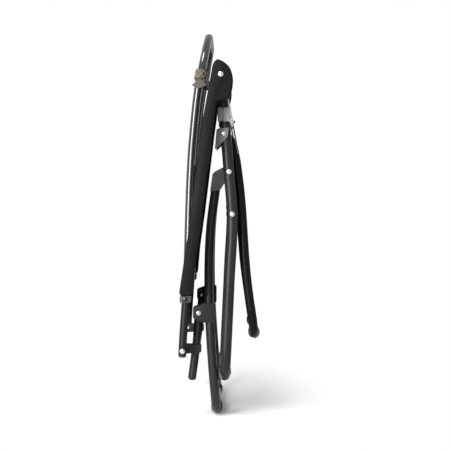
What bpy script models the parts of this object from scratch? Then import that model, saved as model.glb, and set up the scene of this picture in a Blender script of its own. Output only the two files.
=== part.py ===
"""Folding lounge chair, modelled folded and standing on the bar of its seat frame.

Metres, +Z up. The sitter faces +X, and the width runs along Y. The frames are bent tubes that lie beside
each other in layers across the width, so that they pass each other when the chair opens.
"""
import math

import bmesh
import bpy
from mathutils import Matrix, Vector

# Pivots in the side view, as (x, z), in the folded chair.
ARM_PIVOT = (0.0038, 0.860)
ARM_REAR_PIVOT = (-0.0832, 0.312)
LEG_HINGE = (0.0108, 0.718)
SEAT_PIVOT = (0.0238, 0.623)
LEG_STOP = (0.0318, 0.518)
HIP_PIVOT = (-0.0522, 0.269)
BACK_PIVOT = (-0.0922, 0.176)
ROD_PIVOT = (0.0153, 0.840)
ROD_GUIDE = (0.0328, 0.745)

# How far the two leg frames turn when the chair opens, in degrees. Their feet are flat to the floor then.
REAR_LEG_SWING = -42.0
FRONT_LEG_SWING = 19.1

# Tube radii.
BACK_TUBE = 0.010
REAR_LEG_TUBE = 0.0135
FRONT_LEG_TUBE = 0.0115
SEAT_TUBE = 0.0115
LINK_TUBE = 0.0105
SEAT_AXLE = 0.009
ROD_WIRE = 0.002

# Side views of the frames' centre lines, from the free end to the cross bar.
REAR_LEG_LINE = [(0.0026, 0.874), ARM_PIVOT, SEAT_PIVOT, LEG_STOP, (0.0248, 0.347), (0.0173, 0.185),
                 (0.0133, 0.104)]
FRONT_LEG_LINE = [(0.0018, 0.7265), LEG_HINGE, (0.0290, 0.699), (0.0400, 0.660), (0.0476, 0.610),
                  (0.0698, 0.347), (0.0893, 0.207)]
SEAT_LINE = [(-0.0082, 0.587), (-0.0202, 0.497), (-0.0262, 0.322), (-0.0227, 0.222), (-0.0182, 0.150),
             (-0.0072, 0.0130)]
BACK_LINE = [(-0.0927, 0.164), BACK_PIVOT, ARM_REAR_PIVOT, (-0.0632, 0.732), (-0.0532, 0.822),
             (-0.0262, 0.962)]
LINK_LINE = [(-0.0514, 0.281), HIP_PIVOT, (-0.0572, 0.197), (-0.0692, 0.102)]

# Side view of an armrest, round from its rear end.
ARM_OUTLINE = [(-0.0992, 0.320), (-0.0872, 0.400), (-0.0722, 0.497), (-0.0432, 0.732), (-0.0312, 0.800),
               (-0.0202, 0.860), (-0.0152, 0.886), (-0.0052, 0.898), (0.0123, 0.890), (0.0263, 0.877),
               (0.0343, 0.8525), (0.0328, 0.826), (0.0248, 0.8025), (0.0078, 0.796), (-0.0062, 0.795),
               (-0.0152, 0.732), (-0.0442, 0.497), (-0.0582, 0.400), (-0.0652, 0.320)]

# Outlines of fittings, measured from their pivots.
HINGE_BRACKET = [(-0.0175, 0.011), (0.013, 0.015), (0.010, -0.009), (-0.022, -0.041)]
SEAT_BRACKET_BELOW = [(-0.047, -0.051), (-0.021, -0.045), (-0.007, -0.023)]
SEAT_BRACKET_ABOVE = [(-0.017, 0.008), (-0.041, -0.005)]
ARM_COLLAR = [(-0.014, -0.0085), (0.014, -0.0085), (0.0155, 0.0077), (-0.0135, 0.0077)]

# Layers across the width: the seat frame's half width, and the gaps between the layers.
SEAT_HALF_WIDTH = 0.232
LAYER_GAP = 0.002
ARM_GAP = 0.007
ARM_WIDTH = 0.046
BEND_RADIUS = 0.070
BACK_BEND_RADIUS = 0.100

# Clearances: between touching pieces, and around a turning rivet.
TOUCH = 0.0003
BORE_CLEARANCE = 0.0003

# Fasteners.
RIVET_SHANK = 0.004
RIVET_HEAD = 0.0068
RIVET_DOME = 0.0036
SPACER_RADIUS = 0.0085

# Rubber feet on the cross bars.
FOOT_WALL = 0.0025
FOOT_SOLE = 0.0015
FOOT_STEPS = 16
FOOT_LENGTH = 0.060
FOOT_OFFSET = 0.125

# How far a rivet's shank stands out of the piece that it ends in, and reaches into the seat axle.
RIVET_TAIL = 0.001
AXLE_GRIP = 0.015

# Fabric.
SLING_THICKNESS = 0.0028
BACK_SLING_ENDS = (0.204, 0.848)
SEAT_SLING_ENDS = (0.196, 0.560)
SEAT_SLING_WRAP = (-0.62, -0.78)
SEAT_SLING_TURN = (-0.029, -0.035)
STRAP_HEIGHT = 0.025
STRAP_THICKNESS = 0.0022
STRAP_BOTTOM = 0.852
STRAP_TAIL = [(-0.004, 0.0), (0.004, 0.0), (0.017, -0.0155), (-0.003, -0.0235), (-0.0195, -0.0155)]
STRAP_SLACK = 0.0016

# Brackets.
PLATE = 0.003
SEAT_BOSS = 0.009
SLEEVE_WALL = 0.0035
SLEEVE_HALF_HEIGHT = 0.025
SLEEVE_REACH = 0.014
CLAMP_DROP = 0.014
CLAMP_RISE = 0.010
CLAMP_REACH = 0.011
COLLAR_RISE = 0.002
COLLAR_HEIGHT = 0.035
COLLAR_WALL = 0.0025
EYE_RADIUS = 0.0075
EYE_BORE = 0.0044
EYE_LENGTH = 0.007
ROD_LENGTH = 0.176
ROD_PIN = 0.012
ROD_BEND = 0.003
ARM_COLLAR_STEP = 0.003
PLUG_LENGTH = 0.005

# Roundness of tubes and turned pieces.
TUBE_SIDES = 3
TURNED_STEPS = 14
EDGE_ROUND = 0.0015
ARM_CORNER = 0.010
SLEEVE_CORNER = 0.006
PLATE_CORNER = 0.0045

# Layers that follow from the sizes above.
LEG_HALF_WIDTH = SEAT_HALF_WIDTH + SEAT_TUBE + LAYER_GAP + REAR_LEG_TUBE
LEG_OUTSIDE = LEG_HALF_WIDTH + REAR_LEG_TUBE
LEG_INSIDE = LEG_HALF_WIDTH - REAR_LEG_TUBE
BACK_HALF_WIDTH = LEG_HALF_WIDTH
BACK_OUTSIDE = BACK_HALF_WIDTH + BACK_TUBE
BACK_INSIDE = BACK_HALF_WIDTH - BACK_TUBE
SEAT_OUTSIDE = SEAT_HALF_WIDTH + SEAT_TUBE
SEAT_INSIDE = SEAT_HALF_WIDTH - SEAT_TUBE
LINK_HALF_WIDTH = SEAT_INSIDE - LAYER_GAP - LINK_TUBE
LINK_OUTSIDE = LINK_HALF_WIDTH + LINK_TUBE
LINK_INSIDE = LINK_HALF_WIDTH - LINK_TUBE
ARM_INSIDE = LEG_OUTSIDE + ARM_GAP
ARM_OUTSIDE = ARM_INSIDE + ARM_WIDTH
ROD_HALF_WIDTH = LEG_OUTSIDE + ARM_GAP / 2
BORE = RIVET_SHANK + BORE_CLEARANCE

# The two sides, with the way that each lies along Y.
SIDES = (("right", -1), ("left", 1))


def fresh_scene():
    """Removes what the scene holds, and makes the collections for the parts and for the cutters."""
    for old in list(bpy.data.objects):
        bpy.data.objects.remove(old, do_unlink=True)
    made = []
    for name in ("folding_lounge_chair", "cutters"):
        group = bpy.data.collections.new(name)
        bpy.context.scene.collection.children.link(group)
        made.append(group)
    return made


PARTS, CUTTERS = fresh_scene()


def finish(name, colour, roughness, metallic=0.0):
    """A plain Principled material."""
    material = bpy.data.materials.new(name)
    material.use_nodes = True
    shader = material.node_tree.nodes["Principled BSDF"]
    shader.inputs["Base Color"].default_value = (*colour, 1.0)
    shader.inputs["Roughness"].default_value = roughness
    shader.inputs["Metallic"].default_value = metallic
    return material


SATIN_BLACK = finish("satin_black_paint", (0.018, 0.018, 0.02), 0.42)
GLOSS_BLACK = finish("gloss_black_paint", (0.012, 0.012, 0.014), 0.16)
ARM_PLASTIC = finish("dark_arm_plastic", (0.035, 0.036, 0.038), 0.6)
GREY_PLASTIC = finish("grey_plastic", (0.11, 0.11, 0.115), 0.5)
BLACK_RUBBER = finish("black_rubber", (0.01, 0.01, 0.01), 0.8)
RIVET_STEEL = finish("rivet_steel", (0.62, 0.62, 0.64), 0.3, 1.0)
MESH_FABRIC = finish("black_mesh_fabric", (0.02, 0.02, 0.021), 0.85)
WEBBING = finish("grey_brown_webbing", (0.16, 0.14, 0.115), 0.85)


def place_mesh(name, mesh, material, group=PARTS):
    """An object for a finished mesh."""
    piece = bpy.data.objects.new(name, mesh)
    group.objects.link(piece)
    mesh.materials.clear()
    if material:
        mesh.materials.append(material)
    return piece


def welded(curve_object):
    """Turns a curve object into a closed mesh with its caps joined on, and removes the curve."""
    bpy.context.view_layer.update()
    graph = bpy.context.evaluated_depsgraph_get()
    mesh = bpy.data.meshes.new_from_object(curve_object.evaluated_get(graph))
    mesh.transform(curve_object.matrix_world)
    work = bmesh.new()
    work.from_mesh(mesh)
    bmesh.ops.remove_doubles(work, verts=work.verts, dist=0.00001)
    bmesh.ops.recalc_face_normals(work, faces=work.faces)
    work.to_mesh(mesh)
    work.free()
    mesh.shade_smooth()
    mesh.set_sharp_from_angle(angle=math.radians(35.0))
    bpy.data.objects.remove(curve_object, do_unlink=True)
    return mesh


def smooth_line(points, steps=4):
    """Points of a smooth curve through the given (x, z) points, with slopes that suit uneven spacing."""
    knots = [Vector(p) for p in points]
    spans = [(b - a).length for a, b in zip(knots, knots[1:])]
    ways = [(b - a) / span for a, b, span in zip(knots, knots[1:], spans)]
    slopes = [ways[0]]
    for way, following, before, after in zip(ways, ways[1:], spans, spans[1:]):
        slopes.append((way * after + following * before) / (before + after))
    slopes.append(ways[-1])
    line = []
    for k, span in enumerate(spans):
        for step in range(steps):
            t = step / steps
            line.append((2 * t ** 3 - 3 * t * t + 1) * knots[k] + (t ** 3 - 2 * t * t + t) * span * slopes[k]
                        + (3 * t * t - 2 * t ** 3) * knots[k + 1] + (t ** 3 - t * t) * span * slopes[k + 1])
    line.append(knots[-1])
    return line


def at_height(points, z):
    """The x of a frame's smooth line at a height."""
    line = sorted(smooth_line(points), key=lambda p: p.y)
    for low, high in zip(line, line[1:]):
        if low.y <= z <= high.y:
            return low.x + (high.x - low.x) * (z - low.y) / (high.y - low.y)
    raise ValueError("height outside the frame")


def from_pivot(pivot, outline):
    """An outline that is measured from a pivot, in the side view."""
    return [(pivot[0] + x, pivot[1] + z) for x, z in outline]


def solid(point, y):
    """A side-view point at a place across the width."""
    return Vector((point[0], y, point[1]))


def tube(name, path, radius, material, group=PARTS):
    """A round bar along a path of 3-D points."""
    data = bpy.data.curves.new(name, "CURVE")
    data.dimensions = "3D"
    data.bevel_depth = radius
    data.bevel_resolution = TUBE_SIDES
    data.use_fill_caps = True
    spline = data.splines.new("POLY")
    spline.points.add(len(path) - 1)
    for knot, place in zip(spline.points, path):
        knot.co = (*place, 1.0)
    curve = bpy.data.objects.new(name + "_path", data)
    group.objects.link(curve)
    return place_mesh(name, welded(curve), material, group)


def side_path(line, y):
    """One straight-across copy of a side view, at a place across the width."""
    return [solid(p, y) for p in smooth_line(line)]


def u_path(line, half_width, bend):
    """Down one side, round a bend, along the cross bar, and up the other side."""
    end = Vector(line[-1])
    along = (end - Vector(line[-2])).normalized()
    start = end - along * bend
    run = [p for p in smooth_line(line) if (p - end).length > bend * 1.15]
    corner = []
    for step in range(9):
        turn = math.radians(90.0 * step / 8)
        down = start + along * bend * math.sin(turn)
        corner.append((down, half_width - bend * (1.0 - math.cos(turn))))
    near = [solid(p, -half_width) for p in run] + [solid(p, -y) for p, y in corner]
    far = [Vector((p.x, -p.y, p.z)) for p in reversed(near)]
    return near + far


def circle(centre, radius, steps=20):
    """A closed ring of side-view points."""
    turns = [2 * math.pi * (k + 0.5) / steps for k in range(steps)]
    return [(centre[0] + radius * math.cos(t), centre[1] + radius * math.sin(t)) for t in turns]


def rounded(points, radius, steps=3):
    """A polygon whose corners are rounded, as a closed ring of points."""
    ring = []
    count = len(points)
    for k in range(count):
        here = Vector(points[k])
        back = (Vector(points[k - 1]) - here)
        ahead = (Vector(points[(k + 1) % count]) - here)
        reach = min(radius, back.length * 0.45, ahead.length * 0.45)
        a = here + back.normalized() * reach
        b = here + ahead.normalized() * reach
        for step in range(steps + 1):
            t = step / steps
            ring.append(tuple((1 - t) ** 2 * a + 2 * t * (1 - t) * here + t * t * b))
    return ring


def plate(name, rings, y_low, y_high, material, edge=0.0, group=PARTS):
    """A side-view outline, with any holes, as thick as the span from y_low to y_high."""
    data = bpy.data.curves.new(name, "CURVE")
    data.dimensions = "2D"
    data.fill_mode = "BOTH"
    data.extrude = (y_high - y_low) / 2 - edge
    data.bevel_depth = edge
    data.bevel_resolution = 1
    data.offset = -edge
    for ring in rings:
        spline = data.splines.new("POLY")
        spline.points.add(len(ring) - 1)
        spline.use_cyclic_u = True
        for knot, place in zip(spline.points, ring):
            knot.co = (place[0], place[1], 0.0, 1.0)
    curve = bpy.data.objects.new(name + "_outline", data)
    upright = Matrix.Rotation(math.pi / 2, 4, "X")
    curve.matrix_world = Matrix.Translation((0, (y_low + y_high) / 2, 0)) @ upright
    group.objects.link(curve)
    return place_mesh(name, welded(curve), material, group)


def side_plate(name, rings, inner, outer, sign, material, edge=0.0, group=PARTS):
    """A plate between two half widths, on one side of the chair."""
    low, high = sorted((sign * inner, sign * outer))
    return plate(name, rings, low, high, material, edge, group)


def as_cutter(piece):
    """Marks a piece as a tool that cuts others."""
    piece.hide_render = True
    piece.display_type = "WIRE"
    return piece


def combine(piece, other, operation="DIFFERENCE"):
    """Cuts a piece with another, or joins the other on."""
    change = piece.modifiers.new(operation.lower(), "BOOLEAN")
    change.operation = operation
    change.object = other
    change.solver = "EXACT"
    return piece


def bore(name, centre, radius=BORE):
    """A drill right across the chair at a pivot."""
    span = ARM_OUTSIDE + RIVET_HEAD
    return as_cutter(plate(name, [circle(centre, radius, 16)], -span, span, None, group=CUTTERS))


def turned_pair(name, profile, centre, y_base, material):
    """A turned piece on each side. The profile is (radius, height outwards from y_base), top first."""
    closed = profile[0] == profile[-1]
    for side, sign in SIDES:
        mesh = bpy.data.meshes.new(name)
        work = bmesh.new()
        knots = [work.verts.new((r, 0.0, h)) for r, h in (profile[:-1] if closed else profile)]
        for a, b in zip(knots, knots[1:] + knots[:1] if closed else knots[1:]):
            work.edges.new((a, b))
        work.to_mesh(mesh)
        work.free()
        piece = place_mesh(name + "_" + side, mesh, material)
        piece.location = solid(centre, sign * y_base)
        piece.rotation_euler = (-sign * math.pi / 2, 0.0, 0.0)
        spin = piece.modifiers.new("turn", "SCREW")
        spin.steps = spin.render_steps = TURNED_STEPS
        spin.use_merge_vertices = True
        spin.merge_threshold = 0.00001


def rivets(name, centre, head_seat, tip):
    """A pair of domed rivets: the head sits on head_seat, and the shank ends at tip."""
    dome = []
    for step in range(5):
        turn = math.radians(90.0 * step / 4)
        dome.append((RIVET_HEAD * math.sin(turn), TOUCH + RIVET_DOME * math.cos(turn)))
    profile = dome + [(RIVET_SHANK, TOUCH), (RIVET_SHANK, tip - head_seat), (0.0, tip - head_seat)]
    turned_pair(name, profile, centre, head_seat, RIVET_STEEL)


def spacers(name, centre, inner, outer, material, radius=SPACER_RADIUS):
    """A pair of bushes around a pivot, between two half widths."""
    low, high = inner + TOUCH, outer - TOUCH
    profile = [(BORE, high - inner), (radius, high - inner), (radius, low - inner), (BORE, low - inner),
               (BORE, high - inner)]
    turned_pair(name, profile, centre, inner, material)


def foot_outline(centre, bar, floor_direction):
    """A round sleeve around a bar, with a narrow flat sole towards the floor."""
    down = Vector(floor_direction)
    across = Vector((-down.y, down.x))
    radius = bar + FOOT_WALL
    sole = math.acos((bar + FOOT_SOLE) / radius)
    ring = []
    for step in range(FOOT_STEPS + 1):
        turn = sole + (2 * math.pi - 2 * sole) * step / FOOT_STEPS
        ring.append(tuple(Vector(centre) + (down * math.cos(turn) + across * math.sin(turn)) * radius))
    return [ring, circle(centre, bar + TOUCH)]


def feet(name, line, bar, swing):
    """The two rubber feet of a frame. They are flat to the floor after the frame has swung open."""
    turn = math.radians(swing)
    direction = (-math.sin(turn), -math.cos(turn))
    for side, sign in SIDES:
        rings = foot_outline(line[-1], bar, direction)
        inner, outer = FOOT_OFFSET - FOOT_LENGTH / 2, FOOT_OFFSET + FOOT_LENGTH / 2
        side_plate(name + "_" + side, rings, inner, outer, sign, BLACK_RUBBER)


def end_plugs(name, line, half_width, radius):
    """A pair of plastic plugs on the free ends of a frame."""
    end, nxt = Vector(line[0]), Vector(line[1])
    out = (end - nxt).normalized()
    for side, sign in SIDES:
        path = [solid(end + out * reach, sign * half_width) for reach in (TOUCH, PLUG_LENGTH)]
        tube(name + "_" + side, path, radius - 2 * TOUCH, GREY_PLASTIC)


def sling(name, line, y_half, material):
    """A flat sheet of fabric that follows a side-view line."""
    half = SLING_THICKNESS / 2
    upper, lower = [], []
    for k, here in enumerate(line):
        along = (line[min(k + 1, len(line) - 1)] - line[max(k - 1, 0)]).normalized()
        normal = Vector((-along.y, along.x)) * half
        upper.append(tuple(here + normal))
        lower.append(tuple(here - normal))
    return plate(name, [upper + lower[::-1]], -y_half, y_half, material)


BORES = {
    "arm": bore("arm_bore", ARM_PIVOT),
    "arm_rear": bore("arm_rear_bore", ARM_REAR_PIVOT),
    "hinge": bore("leg_hinge_bore", LEG_HINGE),
    "seat": bore("seat_bore", SEAT_PIVOT),
    "stop": bore("leg_stop_bore", LEG_STOP),
    "hip": bore("hip_bore", HIP_PIVOT),
    "back": bore("back_bore", BACK_PIVOT),
}


def drilled(piece, *names):
    """Drills a piece at the named pivots."""
    for name in names:
        combine(piece, BORES[name])
    return piece


def seat_axle():
    """The cross tube at the front of the seat. Its rivets carry the rear legs and the seat frame."""
    length = SEAT_INSIDE - TOUCH
    path = [solid(SEAT_PIVOT, y) for y in (-length, length)]
    drilled(tube("seat_axle", path, SEAT_AXLE, SATIN_BLACK), "seat")
    rivets("seat_rivet", SEAT_PIVOT, LEG_OUTSIDE, SEAT_INSIDE - AXLE_GRIP)


def rear_legs():
    """The rear leg frame, its feet, hinge brackets, collars with the rod guides, and stop bushes."""
    path = u_path(REAR_LEG_LINE, LEG_HALF_WIDTH, BEND_RADIUS)
    frame = tube("rear_leg_frame", path, REAR_LEG_TUBE, SATIN_BLACK)
    drilled(frame, "arm", "hinge", "seat", "stop")
    feet("rear_foot", REAR_LEG_LINE, REAR_LEG_TUBE, REAR_LEG_SWING)
    rings = [rounded(from_pivot(LEG_HINGE, HINGE_BRACKET), PLATE_CORNER), circle(LEG_HINGE, BORE, 16)]
    for side, sign in SIDES:
        side_plate("hinge_bracket_" + side, rings, LEG_OUTSIDE + TOUCH, LEG_OUTSIDE + PLATE, sign,
                   SATIN_BLACK)
    rivets("hinge_rivet", LEG_HINGE, LEG_OUTSIDE + PLATE, SEAT_INSIDE - RIVET_TAIL)
    rivets("stop_rivet", LEG_STOP, LEG_OUTSIDE, SEAT_INSIDE + RIVET_TAIL)
    spacers("stop_bush", LEG_STOP, SEAT_INSIDE, LEG_INSIDE, GREY_PLASTIC, stop_radius())
    collars()


def stop_radius():
    """The stop bush just clears the folded front leg."""
    leg = smooth_line(FRONT_LEG_LINE, 12)
    nearest = min((p - Vector(LEG_STOP)).length for p in leg)
    return nearest - FRONT_LEG_TUBE - 2 * TOUCH


def rod_direction():
    """The way that the folded stop rod points, down from its pivot through its guide."""
    return (Vector(ROD_GUIDE) - Vector(ROD_PIVOT)).normalized()


def collars():
    """A moulded collar around each rear leg, with an eye that guides the stop rod."""
    low = ROD_GUIDE[1] + COLLAR_RISE
    high = low + COLLAR_HEIGHT
    middle = at_height(REAR_LEG_LINE, (low + high) / 2)
    reach = REAR_LEG_TUBE + COLLAR_WALL
    outline = [(middle - reach, low), (middle + reach, low), (middle + reach, high), (middle - reach, high)]
    grown = as_cutter(tube("leg_cutter", u_path(REAR_LEG_LINE, LEG_HALF_WIDTH, BEND_RADIUS),
                           REAR_LEG_TUBE + TOUCH, None, CUTTERS))
    along = rod_direction()
    for side, sign in SIDES:
        y = sign * ROD_HALF_WIDTH
        collar = side_plate("rod_collar_" + side, [rounded(outline, PLATE_CORNER)], LEG_HALF_WIDTH - reach,
                            ROD_HALF_WIDTH - ROD_WIRE - TOUCH, sign, GREY_PLASTIC)
        eye_path = [solid(Vector(ROD_GUIDE) + along * s * EYE_LENGTH / 2, y) for s in (-1, 1)]
        hole_path = [solid(Vector(ROD_GUIDE) + along * s * EYE_LENGTH * 2, y) for s in (-1, 1)]
        root = (middle + REAR_LEG_TUBE, low + EYE_RADIUS)
        web_path = [solid(ROD_GUIDE, y), solid(root, y - sign * EYE_RADIUS)]
        eye = as_cutter(tube("eye_" + side, eye_path, EYE_RADIUS, None, CUTTERS))
        web = as_cutter(tube("eye_web_" + side, web_path, EYE_RADIUS * 0.6, None, CUTTERS))
        hole = as_cutter(tube("eye_hole_" + side, hole_path, EYE_BORE, None, CUTTERS))
        combine(combine(collar, eye, "UNION"), web, "UNION")
        combine(combine(collar, hole), grown)


def front_legs():
    """The front leg frame, hinged high on the rear legs, and its foot caps."""
    path = u_path(FRONT_LEG_LINE, SEAT_HALF_WIDTH, BEND_RADIUS)
    drilled(tube("front_leg_frame", path, FRONT_LEG_TUBE, SATIN_BLACK), "hinge")
    feet("front_foot", FRONT_LEG_LINE, FRONT_LEG_TUBE, FRONT_LEG_SWING)
    end_plugs("front_leg_plug", FRONT_LEG_LINE, SEAT_HALF_WIDTH, FRONT_LEG_TUBE)


def seat_frame():
    """The seat frame, its brackets to the axle, hip sleeves, floor pads and fabric."""
    path = u_path(SEAT_LINE, SEAT_HALF_WIDTH, BEND_RADIUS)
    tube("seat_frame", path, SEAT_TUBE, SATIN_BLACK)
    feet("floor_pad", SEAT_LINE, SEAT_TUBE, 0.0)
    grown = as_cutter(tube("seat_cutter", path, SEAT_TUBE + TOUCH, None, CUTTERS))
    x, z = SEAT_PIVOT
    boss = [(x + SEAT_BOSS * math.cos(t), z + SEAT_BOSS * math.sin(t))
            for t in (math.radians(a) for a in range(-90, 91, 20))]
    bracket = from_pivot(SEAT_PIVOT, SEAT_BRACKET_BELOW) + boss + from_pivot(SEAT_PIVOT, SEAT_BRACKET_ABOVE)
    hip_x, hip_z = HIP_PIVOT
    low, high = hip_z - SLEEVE_HALF_HEIGHT, hip_z + SLEEVE_HALF_HEIGHT
    tube_x = at_height(SEAT_LINE, hip_z)
    right = tube_x + SEAT_TUBE + SLEEVE_WALL
    left = hip_x - SLEEVE_REACH
    sleeve = [(right, low), (right, high), (tube_x - SLEEVE_REACH, high), (left, hip_z + SLEEVE_REACH),
              (left, hip_z - SLEEVE_REACH), (tube_x - SLEEVE_REACH, low)]
    for side, sign in SIDES:
        rings = [bracket, circle(SEAT_PIVOT, BORE, 16)]
        outer = SEAT_OUTSIDE + LAYER_GAP / 4
        combine(side_plate("seat_bracket_" + side, rings, SEAT_INSIDE, outer, sign, SATIN_BLACK), grown)
        rings = [rounded(sleeve, SLEEVE_CORNER), circle(HIP_PIVOT, BORE, 16)]
        piece = side_plate("hip_sleeve_" + side, rings, SEAT_INSIDE - LAYER_GAP / 2,
                           SEAT_OUTSIDE + LAYER_GAP / 2, sign, SATIN_BLACK, EDGE_ROUND / 3)
        combine(piece, grown)
    rivets("hip_rivet", HIP_PIVOT, SEAT_OUTSIDE + LAYER_GAP / 2, LINK_INSIDE - RIVET_TAIL)
    seat_fabric()


def seat_fabric():
    """The seat's sheet: from the axle's rear side, down onto the plane of the frame, to behind the hip."""
    rear, front = SEAT_SLING_ENDS
    wrap = Vector(SEAT_PIVOT) + Vector(SEAT_SLING_WRAP).normalized() * (SEAT_AXLE + 2 * TOUCH)
    line = [wrap, Vector(SEAT_PIVOT) + Vector(SEAT_SLING_TURN)]
    line += [p for p in smooth_line(SEAT_LINE) if rear < p.y < front]
    sling("seat_sling", line, SEAT_INSIDE - LAYER_GAP / 2 - TOUCH, MESH_FABRIC)


def hip_links():
    """The two short links between the seat frame and the back, with the clamps that hold the back."""
    back_x, back_z = BACK_PIVOT
    low, high = back_z - CLAMP_DROP, back_z + CLAMP_RISE
    link_x = at_height(LINK_LINE, (low + high) / 2)
    right = link_x + LINK_TUBE + SLEEVE_WALL
    left = back_x - CLAMP_REACH
    clamp = [(right, low + SLEEVE_WALL), (right, high), (back_x + CLAMP_REACH * 1.5, high),
             (back_x, back_z + CLAMP_REACH), (left, back_z), (left, back_z - CLAMP_REACH * 0.7),
             (back_x, low)]
    for side, sign in SIDES:
        path = side_path(LINK_LINE, sign * LINK_HALF_WIDTH)
        drilled(tube("hip_link_" + side, path, LINK_TUBE, SATIN_BLACK), "hip")
        grown = as_cutter(tube("link_cutter_" + side, path, LINK_TUBE + TOUCH, None, CUTTERS))
        rings = [rounded(clamp, PLATE_CORNER), circle(BACK_PIVOT, BORE, 16)]
        piece = side_plate("back_clamp_" + side, rings, LINK_INSIDE - SLEEVE_WALL,
                           LINK_OUTSIDE + LAYER_GAP / 2, sign, SATIN_BLACK)
        combine(piece, grown)
    link_caps()
    rivets("back_rivet", BACK_PIVOT, BACK_OUTSIDE, LINK_INSIDE - SLEEVE_WALL - RIVET_TAIL)
    spacers("back_spacer", BACK_PIVOT, LINK_OUTSIDE + LAYER_GAP / 2, BACK_INSIDE, GREY_PLASTIC)


def link_caps():
    """Round caps on the lower ends of the hip links."""
    end, above = Vector(LINK_LINE[-1]), Vector(LINK_LINE[-2])
    out = (end - above).normalized()
    for side, sign in SIDES:
        path = [solid(end + out * reach, sign * LINK_HALF_WIDTH) for reach in (TOUCH, PLUG_LENGTH)]
        tube("hip_link_cap_" + side, path, LINK_TUBE - TOUCH, BLACK_RUBBER)


def back():
    """The back frame with its top loop, its fabric, and the woven strap around it."""
    frame = tube("back_frame", u_path(BACK_LINE, BACK_HALF_WIDTH, BACK_BEND_RADIUS), BACK_TUBE, GLOSS_BLACK)
    drilled(frame, "back")
    end_plugs("back_plug", BACK_LINE, BACK_HALF_WIDTH, BACK_TUBE)
    low, high = BACK_SLING_ENDS
    ends = [Vector((at_height(BACK_LINE, z), z)) for z in (low, high)]
    line = [ends[0]] + [p for p in smooth_line(BACK_LINE) if low < p.y < high] + [ends[1]]
    sling("back_sling", line, BACK_INSIDE - TOUCH, MESH_FABRIC)
    strap()


def strap():
    """A woven band around the back frame, with a short kite-shaped tail on the sitter's right."""
    middle = STRAP_BOTTOM + STRAP_HEIGHT / 2
    x = at_height(BACK_LINE, middle)
    inner = BACK_TUBE + STRAP_SLACK
    corner = []
    for step in range(9):
        turn = math.pi * step / 8
        corner.append((inner * math.cos(turn), inner * math.sin(turn)))
    mesh = bpy.data.meshes.new("back_strap")
    work = bmesh.new()
    knots = []
    for grow in (STRAP_THICKNESS, 0.0):
        scale = (inner + grow) / inner
        ring = [(x + a * scale, -BACK_HALF_WIDTH - b * scale) for a, b in corner]
        ring += [(x - a * scale, BACK_HALF_WIDTH + b * scale) for a, b in corner]
        knots.append(ring)
    top = STRAP_BOTTOM + STRAP_HEIGHT
    lean = (at_height(BACK_LINE, top) - at_height(BACK_LINE, STRAP_BOTTOM)) / STRAP_HEIGHT
    count = len(knots[0])
    rows = []
    for ring in knots:
        for z in (STRAP_BOTTOM, top):
            rows.append([work.verts.new((a + lean * (z - middle), b, z)) for a, b in ring])
    outer_low, outer_high, inner_low, inner_high = rows
    around = [outer_low, outer_high, inner_high, inner_low]
    for k in range(count):
        n = (k + 1) % count
        for a, b in zip(around, around[1:] + around[:1]):
            work.faces.new((a[k], a[n], b[n], b[k]))
    bmesh.ops.recalc_face_normals(work, faces=work.faces)
    work.to_mesh(mesh)
    work.free()
    place_mesh("back_strap", mesh, WEBBING)
    out = BACK_OUTSIDE + STRAP_SLACK / 4
    tail = from_pivot((at_height(BACK_LINE, STRAP_BOTTOM), STRAP_BOTTOM - TOUCH), STRAP_TAIL)
    side_plate("strap_tail", [tail], out, out + STRAP_THICKNESS, -1.0, WEBBING)


def armrests():
    """The two moulded armrests, with their rear collars and pivots."""
    collar = from_pivot(ARM_REAR_PIVOT, ARM_COLLAR)
    for side, sign in SIDES:
        rings = [rounded(ARM_OUTLINE, ARM_CORNER), circle(ARM_PIVOT, BORE, 16)]
        arm = side_plate("armrest_" + side, rings, ARM_INSIDE, ARM_OUTSIDE, sign, ARM_PLASTIC, EDGE_ROUND)
        hole = [solid(ROD_PIVOT, sign * (ARM_INSIDE + depth)) for depth in (-ROD_WIRE, ROD_PIN)]
        pin = tube("rod_pin_hole_" + side, hole, ROD_WIRE + BORE_CLEARANCE, None, CUTTERS)
        combine(arm, as_cutter(pin))
        collar_inside = ARM_INSIDE + ARM_COLLAR_STEP
        piece = side_plate("arm_collar_" + side, [rounded(collar, PLATE_CORNER)], collar_inside,
                           ARM_OUTSIDE - ARM_COLLAR_STEP, sign, GREY_PLASTIC)
        boss = side_plate("arm_boss_" + side, [circle(ARM_REAR_PIVOT, SPACER_RADIUS - 2 * TOUCH)],
                          BACK_OUTSIDE + 2 * TOUCH, collar_inside + SPACER_RADIUS, sign, None, group=CUTTERS)
        drilled(combine(piece, as_cutter(boss), "UNION"), "arm_rear")
    rivets("arm_rivet", ARM_PIVOT, ARM_OUTSIDE, LEG_INSIDE - RIVET_TAIL)
    spacers("arm_spacer", ARM_PIVOT, LEG_OUTSIDE, ARM_INSIDE, GREY_PLASTIC)
    rivets("arm_rear_rivet", ARM_REAR_PIVOT, ARM_OUTSIDE - ARM_COLLAR_STEP, BACK_OUTSIDE + 2 * TOUCH)


def stop_rods():
    """Bent wires that turn in the armrests' noses and slide through the eyes on the rear legs."""
    along = rod_direction()
    start = Vector(ROD_PIVOT)
    for side, sign in SIDES:
        pin_end = ARM_INSIDE + ROD_PIN - ROD_WIRE
        path = [solid(start, sign * pin_end), solid(start, sign * (ROD_HALF_WIDTH + ROD_BEND))]
        path += [solid(start + along * ROD_BEND * 0.3, sign * (ROD_HALF_WIDTH + ROD_BEND * 0.3)),
                 solid(start + along * ROD_BEND, sign * ROD_HALF_WIDTH),
                 solid(start + along * ROD_LENGTH, sign * ROD_HALF_WIDTH)]
        tube("stop_rod_" + side, path, ROD_WIRE, RIVET_STEEL)


seat_axle()
rear_legs()
front_legs()
seat_frame()
hip_links()
back()
armrests()
stop_rods()
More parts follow.
